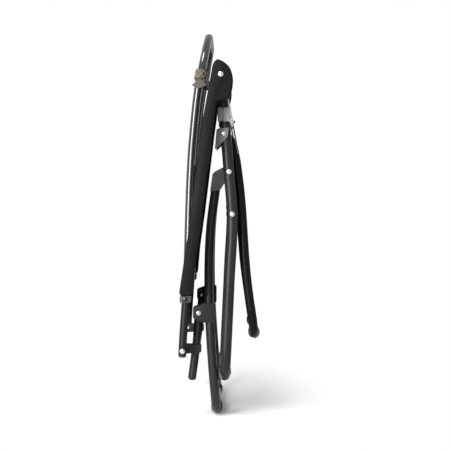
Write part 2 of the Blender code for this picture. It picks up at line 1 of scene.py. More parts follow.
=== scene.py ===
"""Folding lounge chair, folded and upright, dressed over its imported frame.

Metres, +Z up. The sitter faces +X, the width runs along Y, and the camera stands at -Y.
"""
import math

import bmesh
import bpy
from mathutils import Matrix, Vector


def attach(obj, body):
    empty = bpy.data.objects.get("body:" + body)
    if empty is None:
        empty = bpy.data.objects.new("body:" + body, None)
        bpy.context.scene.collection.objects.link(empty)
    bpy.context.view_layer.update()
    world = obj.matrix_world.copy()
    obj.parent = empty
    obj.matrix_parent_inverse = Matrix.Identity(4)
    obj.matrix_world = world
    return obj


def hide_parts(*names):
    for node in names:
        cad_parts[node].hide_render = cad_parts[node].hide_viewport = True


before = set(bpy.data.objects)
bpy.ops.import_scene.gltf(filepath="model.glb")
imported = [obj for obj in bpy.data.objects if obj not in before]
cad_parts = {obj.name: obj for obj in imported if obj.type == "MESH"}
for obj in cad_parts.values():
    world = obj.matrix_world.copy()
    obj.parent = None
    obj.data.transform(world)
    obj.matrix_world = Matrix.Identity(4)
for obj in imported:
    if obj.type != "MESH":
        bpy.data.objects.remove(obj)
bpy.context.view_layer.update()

# Pivots in the side view, as (x, z), in the folded chair.
ARM_PIVOT = (0.0038, 0.860)
ARM_REAR_PIVOT = (-0.0832, 0.312)
LEG_HINGE = (0.0108, 0.718)
SEAT_PIVOT = (0.0238, 0.623)
LEG_STOP = (0.0318, 0.518)
HIP_PIVOT = (-0.0522, 0.269)
BACK_PIVOT = (-0.0922, 0.176)
ROD_PIVOT = (0.0153, 0.840)
ROD_GUIDE = (0.0328, 0.745)

# Tube radii.
BACK_TUBE = 0.010
REAR_LEG_TUBE = 0.0135
FRONT_LEG_TUBE = 0.0115
SEAT_TUBE = 0.0115
LINK_TUBE = 0.0105
AXLE_TUBE = 0.009
ROD_WIRE = 0.002

# Side views of the centre lines of the frames, from the free end to the cross bar, and of the links.
REAR_LEG_LINE = [(0.0026, 0.874), ARM_PIVOT, SEAT_PIVOT, LEG_STOP, (0.0248, 0.347), (0.0173, 0.185),
                 (0.0133, 0.104)]
FRONT_LEG_LINE = [(0.0018, 0.7265), LEG_HINGE, (0.0290, 0.699), (0.0400, 0.660), (0.0476, 0.610),
                  (0.0698, 0.347), (0.0893, 0.207)]
SEAT_LINE = [(-0.0082, 0.587), (-0.0202, 0.497), (-0.0262, 0.322), (-0.0227, 0.222), (-0.0182, 0.150),
             (-0.0072, 0.0130)]
BACK_LINE = [(-0.0927, 0.164), BACK_PIVOT, ARM_REAR_PIVOT, (-0.0632, 0.732), (-0.0532, 0.822),
             (-0.0262, 0.962)]
LINK_LINE = [(-0.0514, 0.281), HIP_PIVOT, (-0.0572, 0.197), (-0.0692, 0.102)]

# An armrest in the side view: its outline, and the edges of its raised field up to the disc at its pivot.
ARM_OUTLINE = [(-0.0992, 0.320), (-0.0872, 0.400), (-0.0722, 0.497), (-0.0432, 0.732), (-0.0312, 0.800),
               (-0.0202, 0.860), (-0.0152, 0.886), (-0.0052, 0.898), (0.0123, 0.890), (0.0263, 0.877),
               (0.0343, 0.8525), (0.0328, 0.826), (0.0248, 0.8025), (0.0078, 0.796), (-0.0062, 0.795),
               (-0.0152, 0.732), (-0.0442, 0.497), (-0.0582, 0.400), (-0.0652, 0.320)]
ARM_PANEL_LEFT = [(-0.0925, 0.332), (-0.0815, 0.400), (-0.0665, 0.497), (-0.0380, 0.732), (-0.0258, 0.800)]
ARM_PANEL_RIGHT = [(-0.0110, 0.795), (-0.0205, 0.732), (-0.0495, 0.497), (-0.0640, 0.400), (-0.0715, 0.332)]
ARM_DISC = 0.0185
ARM_RAISE = 0.0008
ARM_PANEL_ROOT = 0.002
ARM_EDGE = 0.0046

# Outlines of fittings, measured from their pivots, and of the strap's tail, from the strap's lower edge.
HINGE_BRACKET = [(-0.0175, 0.011), (0.013, 0.015), (0.010, -0.009), (-0.022, -0.041)]
SEAT_BRACKET_BELOW = [(-0.047, -0.051), (-0.021, -0.045), (-0.007, -0.023)]
SEAT_BRACKET_ABOVE = [(-0.017, 0.008), (-0.041, -0.005)]
ARM_COLLAR = [(-0.014, -0.0085), (0.014, -0.0085), (0.0155, 0.0077), (-0.0135, 0.0077)]
STRAP_TAIL = [(-0.004, 0.0), (0.004, 0.0), (0.017, -0.0155), (-0.003, -0.0235), (-0.0195, -0.0155)]

# Turned shapes, as (radius, height).
ROD_EYE = [(0.0046, -0.0030), (0.0050, -0.0035), (0.0061, -0.0035), (0.0066, -0.0030), (0.0066, 0.0030),
           (0.0061, 0.0035), (0.0050, 0.0035), (0.0046, 0.0030)]
ARM_BOSS = [(0.0043, 0.0), (0.0075, 0.0), (0.0079, 0.0004), (0.0079, 0.020), (0.0043, 0.020)]
STITCH = [(0.0, -0.0021), (0.00028, -0.0019), (0.00042, -0.0012), (0.00045, 0.0), (0.00042, 0.0012),
          (0.00028, 0.0019), (0.0, 0.0021)]

# Layers across the width, as half widths.
SEAT_HALF = 0.232
LEG_HALF = 0.259
LINK_HALF = 0.208
AXLE_HALF = 0.2202
SEAT_INSIDE, SEAT_OUTSIDE = 0.2205, 0.2435
LEG_INSIDE, LEG_OUTSIDE = 0.2455, 0.2725
BACK_INSIDE, BACK_OUTSIDE = 0.249, 0.269
LINK_INSIDE, LINK_OUTSIDE = 0.1975, 0.2185
ARM_INSIDE, ARM_OUTSIDE = 0.2795, 0.3255
ROD_HALF = 0.276
BEND = 0.070
BACK_BEND = 0.100

# Rivets and the gaps round fittings.
RIVET_SHANK = 0.004
RIVET_HEAD = 0.0068
RIVET_DOME = 0.0039
RIVET_END = 0.001
AXLE_GRIP = 0.015
RIVET_BORE = 0.0043
CLEARANCE = 0.0003
PLUG_STEP = 0.0006
SPACER_RADIUS = 0.0085

# Plates, sleeves and collars.
BRACKET_PLATE = 0.003
BRACKET_BOSS = 0.009
SLEEVE_WALL = 0.0035
SLEEVE_PROUD = 0.001
SLEEVE_HALF = 0.025
SLEEVE_NOSE = 0.014
SLEEVE_RIM = 0.0018
COLLAR_INSET = 0.003
GUIDE_LOW, GUIDE_HIGH = 0.002, 0.037
GUIDE_WALL = 0.0025
GUIDE_SLOT = 0.0014

# Feet, and the raised bands round them.
FOOT_WALL = 0.0025
FOOT_SOLE = 0.0015
FOOT_INNER, FOOT_OUTER = 0.095, 0.155
BAND_START, BAND_WIDTH, BAND_STEP, BAND_RISE = 0.010, 0.004, 0.009, 0.0007
BANDS = 5
REAR_LEG_SWING = -42.0
FRONT_LEG_SWING = 19.1

# Stop rods.
ROD_BEND = 0.0035
ROD_LENGTH = 0.176
ROD_HOLD = 0.010

# Fabric.
CLOTH = 0.0014
SEAT_SAG, BACK_SAG = -0.005, 0.006
SAG_TAPER = 0.09
RIPPLE, RIPPLE_PITCH, RIPPLE_FADE = 0.0006, 95.0, 0.05
HEM_WIDTH = 0.022
HEM_THICKNESS = 0.0028
HEM_INSET = 0.0005
BEAD_RADIUS = 0.0026
STITCH_STEP = 0.006
STITCH_ROWS = (0.004, 0.008)
POCKET_RADIUS = 0.0112
SEAT_WRAP = 0.0105
SEAT_CLOTH_GAP = 0.0013
SEAT_CLOTH_LOW, SEAT_CLOTH_HIGH = 0.196, 0.560
BACK_CLOTH_LOW, BACK_CLOTH_HIGH = 0.204, 0.848
STRAP_BOTTOM, STRAP_TOP = 0.852, 0.877
STRAP_INNER = 0.0116
STRAP_THICKNESS = 0.0022
STRAP_EDGE = 0.0016
CORD_RADIUS = 0.0011
CORD_PITCH = 0.026
CORD_MARGIN = 0.003

# Fineness of the meshes.
TUBE_SIDES = 32
TURN_STEPS = 36
SHARP_EDGE = 38.0
MERGE, FINE_MERGE, TINY = 0.000005, 0.000002, 0.000001

# Share of the white surroundings that lights the chair.
SKY_LIGHT = 0.38

SIDES = (("right", -1.0), ("left", 1.0))


def add_node(tree, kind, settings, sockets):
    """Adds a node: its settings first, then the values or links of its sockets."""
    made = tree.nodes.new(kind)
    for name, value in (settings or {}).items():
        setattr(made, name, value)
    for name, value in (sockets or {}).items():
        if isinstance(value, bpy.types.NodeSocket):
            tree.links.new(value, made.inputs[name])
        else:
            made.inputs[name].default_value = value
    return made


class Wire:
    """A socket of a material's tree. Arithmetic on it adds Math nodes."""

    def __init__(self, tree, socket):
        self.tree, self.socket = tree, socket

    def node(self, kind, settings=None, sockets=None, out=0):
        """Adds a node and gives one of its outputs."""
        plain = {name: value.socket if isinstance(value, Wire) else value
                 for name, value in (sockets or {}).items()}
        return Wire(self.tree, add_node(self.tree, kind, settings, plain).outputs[out])

    def math(self, operation, *values):
        return self.node("ShaderNodeMath", {"operation": operation}, dict(enumerate(values)))

    def __add__(self, other):
        return self.math("ADD", self, other)

    __radd__ = __add__

    def __sub__(self, other):
        return self.math("SUBTRACT", self, other)

    def __rsub__(self, other):
        return self.math("SUBTRACT", other, self)

    def __mul__(self, other):
        return self.math("MULTIPLY", self, other)

    __rmul__ = __mul__

    def sine(self):
        return self.math("SINE", self)

    def size(self):
        return self.math("ABSOLUTE", self)

    def parts(self):
        """The X, Y and Z of a vector."""
        first = self.node("ShaderNodeSeparateXYZ", None, {0: self})
        return [Wire(self.tree, output) for output in first.socket.node.outputs]

    def ramp(self, low, high):
        """0 below low, 1 above high, smooth between."""
        return self.node("ShaderNodeMapRange", {"interpolation_type": "SMOOTHSTEP"},
                         {"Value": self, "From Min": low, "From Max": high})

    def blend(self, first, second):
        """A colour between two, by this value."""
        return self.node("ShaderNodeMix", {"data_type": "RGBA"},
                         {0: self, 6: first if isinstance(first, Wire) else (*first, 1.0),
                          7: second if isinstance(second, Wire) else (*second, 1.0)}, 2)

    def noise(self, scale, detail=2.0):
        return self.node("ShaderNodeTexNoise", None, {"Vector": self, "Scale": scale, "Detail": detail})

    def stretched(self, scale):
        return self.node("ShaderNodeMapping", None, {"Vector": self, "Scale": scale})

    def bump(self, strength, distance):
        return self.node("ShaderNodeBump", None, {"Height": self, "Strength": strength, "Distance": distance})


class Finish:
    """A Principled material with the constants on its own sockets."""

    def __init__(self, name, **constants):
        self.material = bpy.data.materials.new(name)
        self.material.use_nodes = True
        self.tree = self.material.node_tree
        self.shader = self.tree.nodes["Principled BSDF"]
        for socket, value in constants.items():
            self.shader.inputs[socket.replace("_", " ")].default_value = value
        coordinates = self.tree.nodes.new("ShaderNodeTexCoord")
        self.place = Wire(self.tree, coordinates.outputs["Object"])
        self.cloth = Wire(self.tree, coordinates.outputs["UV"])

    def feed(self, socket, wire):
        self.tree.links.new(wire.socket, self.shader.inputs[socket])
        return self


def satin_paint(name, dark, light, shine=0.13):
    """Powder coat with orange peel and a little dust."""
    paint = Finish(name, Specular_IOR_Level=shine)
    place = paint.place
    cloud = place.noise(14.0, 3.0)
    dust = place.noise(420.0, 3.0).ramp(0.62, 0.80) * cloud.ramp(0.35, 0.75) * 0.35
    paint.feed("Base Color", dust.blend(cloud.blend(dark, light), (0.075, 0.074, 0.072)))
    paint.feed("Roughness", place.noise(55.0) * 0.14 + 0.25)
    return paint.feed("Normal", place.noise(620.0, 1.0).bump(0.10, 0.0006)).material


def gloss_black_paint():
    """Lacquer of the back frame: a smeared clear coat, duller below the armrests and on the top bar."""
    paint = Finish("gloss_black_paint", Specular_IOR_Level=0.1, Coat_Roughness=0.16, Coat_IOR=1.6)
    place = paint.place
    smear = place.stretched((1.0, 1.0, 0.25)).noise(60.0, 4.0)
    _, width, height = place.parts()
    lacquer = height.ramp(0.300, 0.322) * width.size().ramp(0.17, 0.25)
    paint.feed("Base Color", smear.blend((0.006, 0.006, 0.007), (0.013, 0.013, 0.014)))
    paint.feed("Roughness", smear.ramp(0.35, 0.8) * 0.14 + 0.32 - lacquer * 0.2)
    paint.feed("Coat Weight", (smear * 0.3 + 0.7) * lacquer)
    return paint.feed("Normal", place.noise(300.0, 1.0).bump(0.03, 0.0006)).material


def arm_plastic():
    """Dark moulded plastic with a leather-like grain, rubbed smoother in patches."""
    plastic = Finish("dark_arm_plastic", Specular_IOR_Level=0.06)
    place = plastic.place
    grain = place.node("ShaderNodeTexVoronoi", {"feature": "SMOOTH_F1"},
                       {"Vector": place, "Scale": 900.0, "Smoothness": 0.6})
    rubbed = place.stretched((1.0, 1.0, 0.3)).noise(22.0, 3.0).ramp(0.4, 0.75)
    tone = grain * 0.5 + rubbed * 0.4
    plastic.feed("Base Color", tone.blend((0.003, 0.003, 0.0034), (0.008, 0.008, 0.0086)))
    plastic.feed("Roughness", 0.56 - rubbed * 0.14)
    return plastic.feed("Normal", grain.bump(0.22, 0.0005)).material


def grey_plastic(name, dark, light):
    """Grey moulded plastic with flow marks and a fine matt grain."""
    plastic = Finish(name, Specular_IOR_Level=0.35)
    place = plastic.place
    flow = place.stretched((1.0, 1.0, 0.2)).noise(130.0, 3.0)
    plastic.feed("Base Color", flow.blend(dark, light))
    plastic.feed("Roughness", flow * 0.2 + 0.36)
    return plastic.feed("Normal", place.noise(1500.0).bump(0.15, 0.0003)).material


def black_rubber():
    """Rubber of the feet: dull, mottled, with dust in its texture."""
    rubber = Finish("black_rubber", Specular_IOR_Level=0.25)
    place = rubber.place
    mottle = place.noise(90.0, 4.0)
    dust = place.noise(700.0).ramp(0.6, 0.8) * 0.4
    bare = mottle.blend((0.007, 0.007, 0.007), (0.016, 0.016, 0.016))
    rubber.feed("Base Color", dust.blend(bare, (0.06, 0.058, 0.055)))
    rubber.feed("Roughness", mottle * 0.2 + 0.62)
    return rubber.feed("Normal", place.noise(900.0).bump(0.25, 0.0004)).material


def rivet_steel(name, dark, light):
    """Plated steel with a little bloom."""
    steel = Finish(name, Metallic=1.0)
    place = steel.place
    bloom = place.noise(260.0, 4.0)
    steel.feed("Base Color", bloom.blend(dark, light))
    steel.feed("Roughness", bloom * 0.24 + 0.20)
    return steel.feed("Normal", place.noise(1900.0).bump(0.08, 0.0002)).material


def rod_paint():
    """Pale grey paint on the stop rods above the guides, painted dark below them as painted shade."""
    paint = Finish("grey_rod_paint", Specular_IOR_Level=0.2)
    place = paint.place
    height = place.parts()[2]
    ragged = height + place.noise(160.0, 3.0) * 0.02 - 0.01
    above_guides = ragged.ramp(ROD_GUIDE[1] - 0.012, ROD_GUIDE[1] + 0.004)
    wear = place.stretched((1.0, 1.0, 0.3)).noise(240.0, 3.0)
    pale = wear.blend((0.20, 0.20, 0.208), (0.32, 0.32, 0.33))
    # The dark tone below the guides is painted shade.
    painted_shade_tone = wear.blend((0.018, 0.018, 0.019), (0.040, 0.040, 0.041))
    paint.feed("Base Color", above_guides.blend(painted_shade_tone, pale))
    return paint.feed("Roughness", wear * 0.2 + 0.36).material


def woven(name, step, dark, light, roughness):
    """Plain weave on the cloth's own UV map, in metres: warp over weft in a checker."""
    weave = Finish(name, Specular_IOR_Level=0.25)
    cloth = weave.cloth
    across, along, _ = cloth.parts()
    check = cloth.node("ShaderNodeTexChecker", None,
                       {"Vector": cloth, "Scale": 1.0 / step, "Color1": (1, 1, 1, 1),
                        "Color2": (0, 0, 0, 1)}, "Fac")
    warp = (across * (math.pi / step)).sine().size()
    weft = (along * (math.pi / step)).sine().size()
    height = check * warp + (1.0 - check) * weft
    fade = cloth.noise(9.0, 3.0)
    weave.feed("Base Color", (height * 0.75 + fade * 0.25).blend(dark, light))
    weave.feed("Roughness", fade * 0.12 + roughness)
    return weave.feed("Normal", height.bump(0.5, step * 0.35)).material


def strap_weave():
    """Twill of the strap: diagonal ribs in grey-brown yarn."""
    weave = Finish("strap_weave", Specular_IOR_Level=0.25)
    across, along, _ = weave.cloth.parts()
    rib_step = 0.0022
    rib = ((across + along) * (math.pi / rib_step)).sine().size()
    yarn = weave.place.noise(320.0, 3.0)
    tone = rib * 0.6 + yarn * 0.5
    weave.feed("Base Color", tone.blend((0.020, 0.017, 0.0135), (0.095, 0.083, 0.066)))
    weave.feed("Roughness", yarn * 0.2 + 0.68)
    return weave.feed("Normal", rib.bump(0.55, 0.0006)).material


def twisted_thread(name, dark, light):
    """Thread and cord, with the twist as fine slanted ribs."""
    thread = Finish(name, Specular_IOR_Level=0.25)
    ply = thread.place.stretched((1.0, 1.0, 1.6)).noise(1400.0)
    thread.feed("Base Color", ply.blend(dark, light))
    thread.feed("Roughness", ply * 0.2 + 0.6)
    return thread.feed("Normal", ply.bump(0.4, 0.0003)).material


SATIN = satin_paint("satin_black_paint", (0.009, 0.009, 0.0096), (0.017, 0.017, 0.018))
# The front legs' satin black paint, made darker and duller: painted shade, for the shade they stand in behind
# the rear legs.
SATIN_WITH_PAINTED_SHADE = satin_paint("satin_black_with_painted_shade", (0.003, 0.003, 0.0032), (0.006, 0.006, 0.0064), 0.05)
# Lighter copies of the satin black paint: painted light, for the light that the flat faces of the seat
# brackets, and the hinge plates even more, catch from the left.
SATIN_WITH_PAINTED_LIGHT = satin_paint("satin_black_with_painted_light", (0.075, 0.075, 0.081), (0.115, 0.115, 0.124))
SATIN_WITH_MORE_PAINTED_LIGHT = satin_paint("satin_black_with_more_painted_light", (0.11, 0.11, 0.118), (0.17, 0.17, 0.182))
GLOSS = gloss_black_paint()
ARM = arm_plastic()
GREY = grey_plastic("grey_plastic", (0.018, 0.018, 0.019), (0.036, 0.036, 0.038))
PALE = grey_plastic("pale_grey_plastic", (0.15, 0.15, 0.16), (0.25, 0.25, 0.262))
RUBBER = black_rubber()
STEEL = rivet_steel("zinc_rivet_steel", (0.34, 0.34, 0.35), (0.60, 0.60, 0.61))
BLACKED = rivet_steel("blackened_rivet_steel", (0.022, 0.022, 0.023), (0.05, 0.05, 0.052))
ROD = rod_paint()
MESH = woven("black_mesh_weave", 0.0021, (0.006, 0.006, 0.0065), (0.036, 0.036, 0.038), 0.70)
HEM = woven("black_hem_tape", 0.0012, (0.008, 0.008, 0.008), (0.030, 0.030, 0.031), 0.72)
STRAP = strap_weave()
THREAD = twisted_thread("grey_sewing_thread", (0.035, 0.035, 0.036), (0.085, 0.085, 0.086))
CORD = twisted_thread("strap_cord", (0.075, 0.066, 0.052), (0.18, 0.16, 0.126))


def smooth_line(points, steps=10):
    """Points of a smooth curve through side-view points, with slopes that suit uneven spacing."""
    knots = [Vector(p) for p in points]
    spans = [(b - a).length for a, b in zip(knots, knots[1:])]
    ways = [(b - a) / span for a, b, span in zip(knots, knots[1:], spans)]
    slopes = [ways[0]]
    for way, following, before, after in zip(ways, ways[1:], spans, spans[1:]):
        slopes.append((way * after + following * before) / (before + after))
    slopes.append(ways[-1])
    line = []
    for k, span in enumerate(spans):
        for step in range(steps):
            t = step / steps
            line.append((2 * t ** 3 - 3 * t * t + 1) * knots[k] + (t ** 3 - 2 * t * t + t) * span * slopes[k]
                        + (3 * t * t - 2 * t ** 3) * knots[k + 1] + (t ** 3 - t * t) * span * slopes[k + 1])
    line.append(knots[-1])
    return line


def at_height(points, z):
    """The x of a frame's centre line at a height."""
    line = sorted(smooth_line(points), key=lambda p: p.y)
    for low, high in zip(line, line[1:]):
        if low.y <= z <= high.y:
            return low.x + (high.x - low.x) * (z - low.y) / (high.y - low.y)
    raise ValueError("height outside the frame")


def solid(point, y):
    """A side-view point at a place across the width."""
    return Vector((point[0], y, point[1]))


def turn_to(way):
    """The turn from upright to a side-view direction."""
    return Vector((way.x, 0.0, way.y)).to_track_quat("Z", "Y").to_matrix().to_4x4()


def from_pivot(pivot, outline):
    return [(pivot[0] + x, pivot[1] + z) for x, z in outline]


def arc(centre, radius, degrees):
    """Side-view points on a circle."""
    return [(centre[0] + radius * math.cos(math.radians(a)), centre[1] + radius * math.sin(math.radians(a)))
            for a in degrees]


def bent_u(line, half_width, bend, steps=20):
    """Down one side, round a bend, along the cross bar, and up the other side."""
    end = Vector(line[-1])
    along = (end - Vector(line[-2])).normalized()
    start = end - along * bend
    run = [p for p in smooth_line(line) if (p - end).length > bend * 1.05]
    corner = []
    for step in range(steps + 1):
        turn = math.radians(90.0 * step / steps)
        corner.append((start + along * bend * math.sin(turn), half_width - bend * (1.0 - math.cos(turn))))
    near = [solid(p, -half_width) for p in run] + [solid(p, -y) for p, y in corner]
    return near + [Vector((p.x, -p.y, p.z)) for p in reversed(near)]


def rounded(points, radius, steps=6):
    """A polygon whose corners are rounded, as a closed ring of points."""
    ring = []
    count = len(points)
    for k in range(count):
        here = Vector(points[k])
        back = Vector(points[k - 1]) - here
        ahead = Vector(points[(k + 1) % count]) - here
        reach = min(radius, back.length * 0.45, ahead.length * 0.45)
        a = here + back.normalized() * reach
        b = here + ahead.normalized() * reach
        for step in range(steps + 1):
            t = step / steps
            ring.append(tuple((1 - t) ** 2 * a + 2 * t * (1 - t) * here + t * t * b))
    return ring


def add_object(name, data):
    """A new object at the origin."""
    made = bpy.data.objects.new(name, data)
    bpy.context.scene.collection.objects.link(made)
    return made


def drop(made):
    bpy.data.objects.remove(made, do_unlink=True)


def show(name, mesh, material):
    """An object for a finished mesh."""
    mesh.name = name
    mesh.materials.clear()
    mesh.materials.append(material)
    mesh.shade_smooth()
    mesh.set_sharp_from_angle(angle=math.radians(SHARP_EDGE))
    return add_object(name, mesh)


def dress(piece, body, slot, *nodes):
    """The piece rides on a body and stands for CAD nodes, which are hidden. The slot is not used."""
    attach(piece, body)
    if nodes:
        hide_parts(*nodes)


def both(stem):
    return stem + "_left", stem + "_right"


def closed(work, mesh, distance):
    """Ends a bmesh in a mesh: doubles merged, faces outwards."""
    bmesh.ops.remove_doubles(work, verts=work.verts, dist=distance)
    bmesh.ops.recalc_face_normals(work, faces=work.faces)
    work.to_mesh(mesh)
    work.free()
    return mesh


def mesh_from(work):
    return closed(work, bpy.data.meshes.new("shape"), MERGE)


def joined(meshes):
    """Several meshes as one."""
    work = bmesh.new()
    for mesh in meshes:
        work.from_mesh(mesh)
    whole = bpy.data.meshes.new("shape")
    work.to_mesh(whole)
    work.free()
    return whole


def turned(profile, steps=TURN_STEPS, ring=False):
    """A shape turned about Z from (radius, height) points. A ring's profile closes on itself."""
    work = bmesh.new()
    turns = [2 * math.pi * k / steps for k in range(steps)]
    rows = []
    for r, h in profile:
        if r < TINY:
            rows.append([work.verts.new((0.0, 0.0, h))])
        else:
            rows.append([work.verts.new((r * math.cos(t), r * math.sin(t), h)) for t in turns])
    for a, b in zip(rows, rows[1:] + rows[:1] if ring else rows[1:]):
        for k in range(steps):
            n = (k + 1) % steps
            corners = (a[k % len(a)], a[n % len(a)], b[n % len(b)], b[k % len(b)])
            corners = list(dict.fromkeys(corners))
            if len(corners) > 2:
                work.faces.new(corners)
    return mesh_from(work)


def slab(outline, low, high, rim, segments=4):
    """A plate between two places across the width, with rounded rims."""
    low, high = sorted((low, high))
    work = bmesh.new()
    near = [work.verts.new((x, low, z)) for x, z in outline]
    far = [work.verts.new((x, high, z)) for x, z in outline]
    work.faces.new(near)
    work.faces.new(far)
    count = len(outline)
    for k in range(count):
        n = (k + 1) % count
        work.faces.new((near[k], near[n], far[n], far[k]))
    bmesh.ops.recalc_face_normals(work, faces=work.faces)
    rims = [e for e in work.edges if abs(e.verts[0].co.y - e.verts[1].co.y) < TINY]
    bmesh.ops.bevel(work, geom=rims, offset=rim, segments=segments, profile=0.5, affect="EDGES",
                    clamp_overlap=True)
    return mesh_from(work)


def pair(name, stem, shapes, material, body, slot):
    """One piece of shapes on both sides, which stands for the left and the right node."""
    dress(show(name, joined(shapes), material), body, slot, *both(stem))


class Recipe:
    """A Geometry Nodes tree with named inputs."""

    def __init__(self, name, **inputs):
        self.tree = bpy.data.node_groups.new(name, "GeometryNodeTree")
        self.sockets = {}
        self.tree.interface.new_socket("Geometry", in_out="INPUT", socket_type="NodeSocketGeometry")
        self.tree.interface.new_socket("Geometry", in_out="OUTPUT", socket_type="NodeSocketGeometry")
        for title, kind in inputs.items():
            made = self.tree.interface.new_socket(title, in_out="INPUT", socket_type="NodeSocket" + kind)
            self.sockets[title] = made.identifier
        self.given = self.tree.nodes.new("NodeGroupInput").outputs
        self.result = self.tree.nodes.new("NodeGroupOutput").inputs["Geometry"]

    def node(self, kind, settings=None, sockets=None, out=0):
        return add_node(self.tree, kind, settings, sockets).outputs[out]

    def finish(self, geometry):
        """Ends the tree with real geometry and its material."""
        real = self.node("GeometryNodeRealizeInstances", None, {"Geometry": geometry})
        painted = self.node("GeometryNodeSetMaterial", None,
                            {"Geometry": real, "Material": self.given["Material"]})
        self.tree.links.new(painted, self.result)
        return self

    def make(self, name, source, material, **values):
        """Runs the tree on a source object and keeps the result as a plain mesh. The source goes."""
        change = source.modifiers.new("shape", "NODES")
        change.node_group = self.tree
        change[self.sockets["Material"]] = material
        for title, value in values.items():
            change[self.sockets[title]] = value
        bpy.context.view_layer.update()
        graph = bpy.context.evaluated_depsgraph_get()
        mesh = bpy.data.meshes.new_from_object(source.evaluated_get(graph), depsgraph=graph)
        source.modifiers.remove(change)
        drop(source)
        work = bmesh.new()
        work.from_mesh(mesh)
        return show(name, closed(work, mesh, FINE_MERGE), material)


def tube_recipe():
    """A round tube along every path."""
    recipe = Recipe("tube_along_path", Radius="Float", Sides="Int", Material="Material")
    ring = recipe.node("GeometryNodeCurvePrimitiveCircle", None,
                       {"Resolution": recipe.given["Sides"], "Radius": recipe.given["Radius"]})
    tube = recipe.node("GeometryNodeCurveToMesh", None,
                       {"Curve": recipe.given["Geometry"], "Profile Curve": ring, "Fill Caps": True})
    return recipe.finish(tube)


def pair_recipe():
    """A turned fitting on every point, with its head away from the middle of the chair."""
    recipe = Recipe("fitting_on_both_sides", Fitting="Object", Material="Material")
    place = recipe.node("GeometryNodeInputPosition")
    across = recipe.node("ShaderNodeSeparateXYZ", None, {0: place}, 1)
    outwards = recipe.node("ShaderNodeCombineXYZ", None, {1: across})
    turn = recipe.node("FunctionNodeAlignRotationToVector", {"axis": "Z"}, {"Vector": outwards})
    fitting = recipe.node("GeometryNodeObjectInfo", None, {"Object": recipe.given["Fitting"]}, "Geometry")
    placed = recipe.node("GeometryNodeInstanceOnPoints", None,
                         {"Points": recipe.given["Geometry"], "Instance": fitting, "Rotation": turn})
    return recipe.finish(placed)


def stitch_recipe():
    """Stitches at an even step along every path."""
    recipe = Recipe("stitches_along_path", Stitch="Object", Step="Float", Material="Material")
    spots = recipe.node("GeometryNodeCurveToPoints", {"mode": "LENGTH"},
                        {"Curve": recipe.given["Geometry"], "Length": recipe.given["Step"]})
    stitch = recipe.node("GeometryNodeObjectInfo", None, {"Object": recipe.given["Stitch"]}, "Geometry")
    placed = recipe.node("GeometryNodeInstanceOnPoints", None,
                         {"Points": spots, "Instance": stitch, "Rotation": spots.node.outputs["Rotation"]})
    return recipe.finish(placed)


def rib_recipe():
    """A shape repeated at an even step across the width."""
    recipe = Recipe("ribs_in_a_row", Count="Int", Step="Float", Material="Material")
    shift = recipe.node("ShaderNodeCombineXYZ", None, {1: recipe.given["Step"]})
    row = recipe.node("GeometryNodeMeshLine", None, {"Count": recipe.given["Count"], "Offset": shift})
    placed = recipe.node("GeometryNodeInstanceOnPoints", None,
                         {"Points": row, "Instance": recipe.given["Geometry"]})
    return recipe.finish(placed)


TUBES = tube_recipe()
PAIRS = pair_recipe()
STITCHES = stitch_recipe()
RIBS = rib_recipe()


def path_object(name, paths, loop=False):
    """A curve object with a straight-segment spline for each path."""
    data = bpy.data.curves.new(name, "CURVE")
    data.dimensions = "3D"
    for path in paths:
        spline = data.splines.new("POLY")
        spline.points.add(len(path) - 1)
        spline.use_cyclic_u = loop
        for knot, place in zip(spline.points, path):
            knot.co = (*place, 1.0)
    return add_object(name + "_path", data)


def tubes(name, paths, radius, material, sides=TUBE_SIDES, loop=False):
    return TUBES.make(name, path_object(name, paths, loop), material, Radius=radius, Sides=sides)


def fittings(name, mesh, centre, y_base, material):
    """A turned fitting on each side of the chair, at a pivot."""
    master = add_object(name + "_master", mesh)
    points = bpy.data.meshes.new(name)
    points.from_pydata([solid(centre, sign * y_base) for _, sign in SIDES], [], [])
    piece = PAIRS.make(name, add_object(name + "_points", points), material, Fitting=master)
    drop(master)
    return piece


def rivet_profile(length):
    """A blind rivet: a dome with the hole of its mandrel, a thin rim, and the shank."""
    brim, seat_gap, hole_floor, steps = 0.0008, 0.0001, 0.0016, 8
    profile = [(0.0, hole_floor), (0.0013, hole_floor), (0.0016, RIVET_DOME - 0.0004), (0.0021, RIVET_DOME)]
    for step in range(1, steps + 1):
        turn = math.radians(18.0 + 72.0 * step / steps)
        profile.append((RIVET_HEAD * math.sin(turn), brim + (RIVET_DOME - brim) * math.cos(turn)))
    return profile + [(RIVET_HEAD, brim / 2), (RIVET_HEAD - 0.0003, seat_gap), (RIVET_SHANK, seat_gap),
                      (RIVET_SHANK, -length), (0.0, -length)]


def rivets(stem, centre, head_seat, tip, body, material=STEEL):
    mesh = turned(rivet_profile(head_seat - tip))
    dress(fittings(stem + "s", mesh, centre, head_seat, material), body, "rivet_steel", *both(stem))


def bushes(name, stem, centre, inner, outer, radius, body):
    """A moulded bush on each side, with rounded rims, and a groove round its middle where it is long."""
    length = outer - inner - 2 * CLEARANCE
    rim = min(0.0006, length * 0.2)
    profile = [(RIVET_BORE, 0.0), (radius - rim, 0.0), (radius, rim)]
    if length > 0.008:
        middle, waist = length / 2, radius - 0.0007
        profile += [(radius, middle - 0.0015), (waist, middle - 0.0008), (waist, middle + 0.0008),
                    (radius, middle + 0.0015)]
    profile += [(radius, length - rim), (radius - rim, length), (RIVET_BORE, length)]
    piece = fittings(name, turned(profile, ring=True), centre, inner + CLEARANCE, GREY)
    dress(piece, body, "grey_plastic", *both(stem))


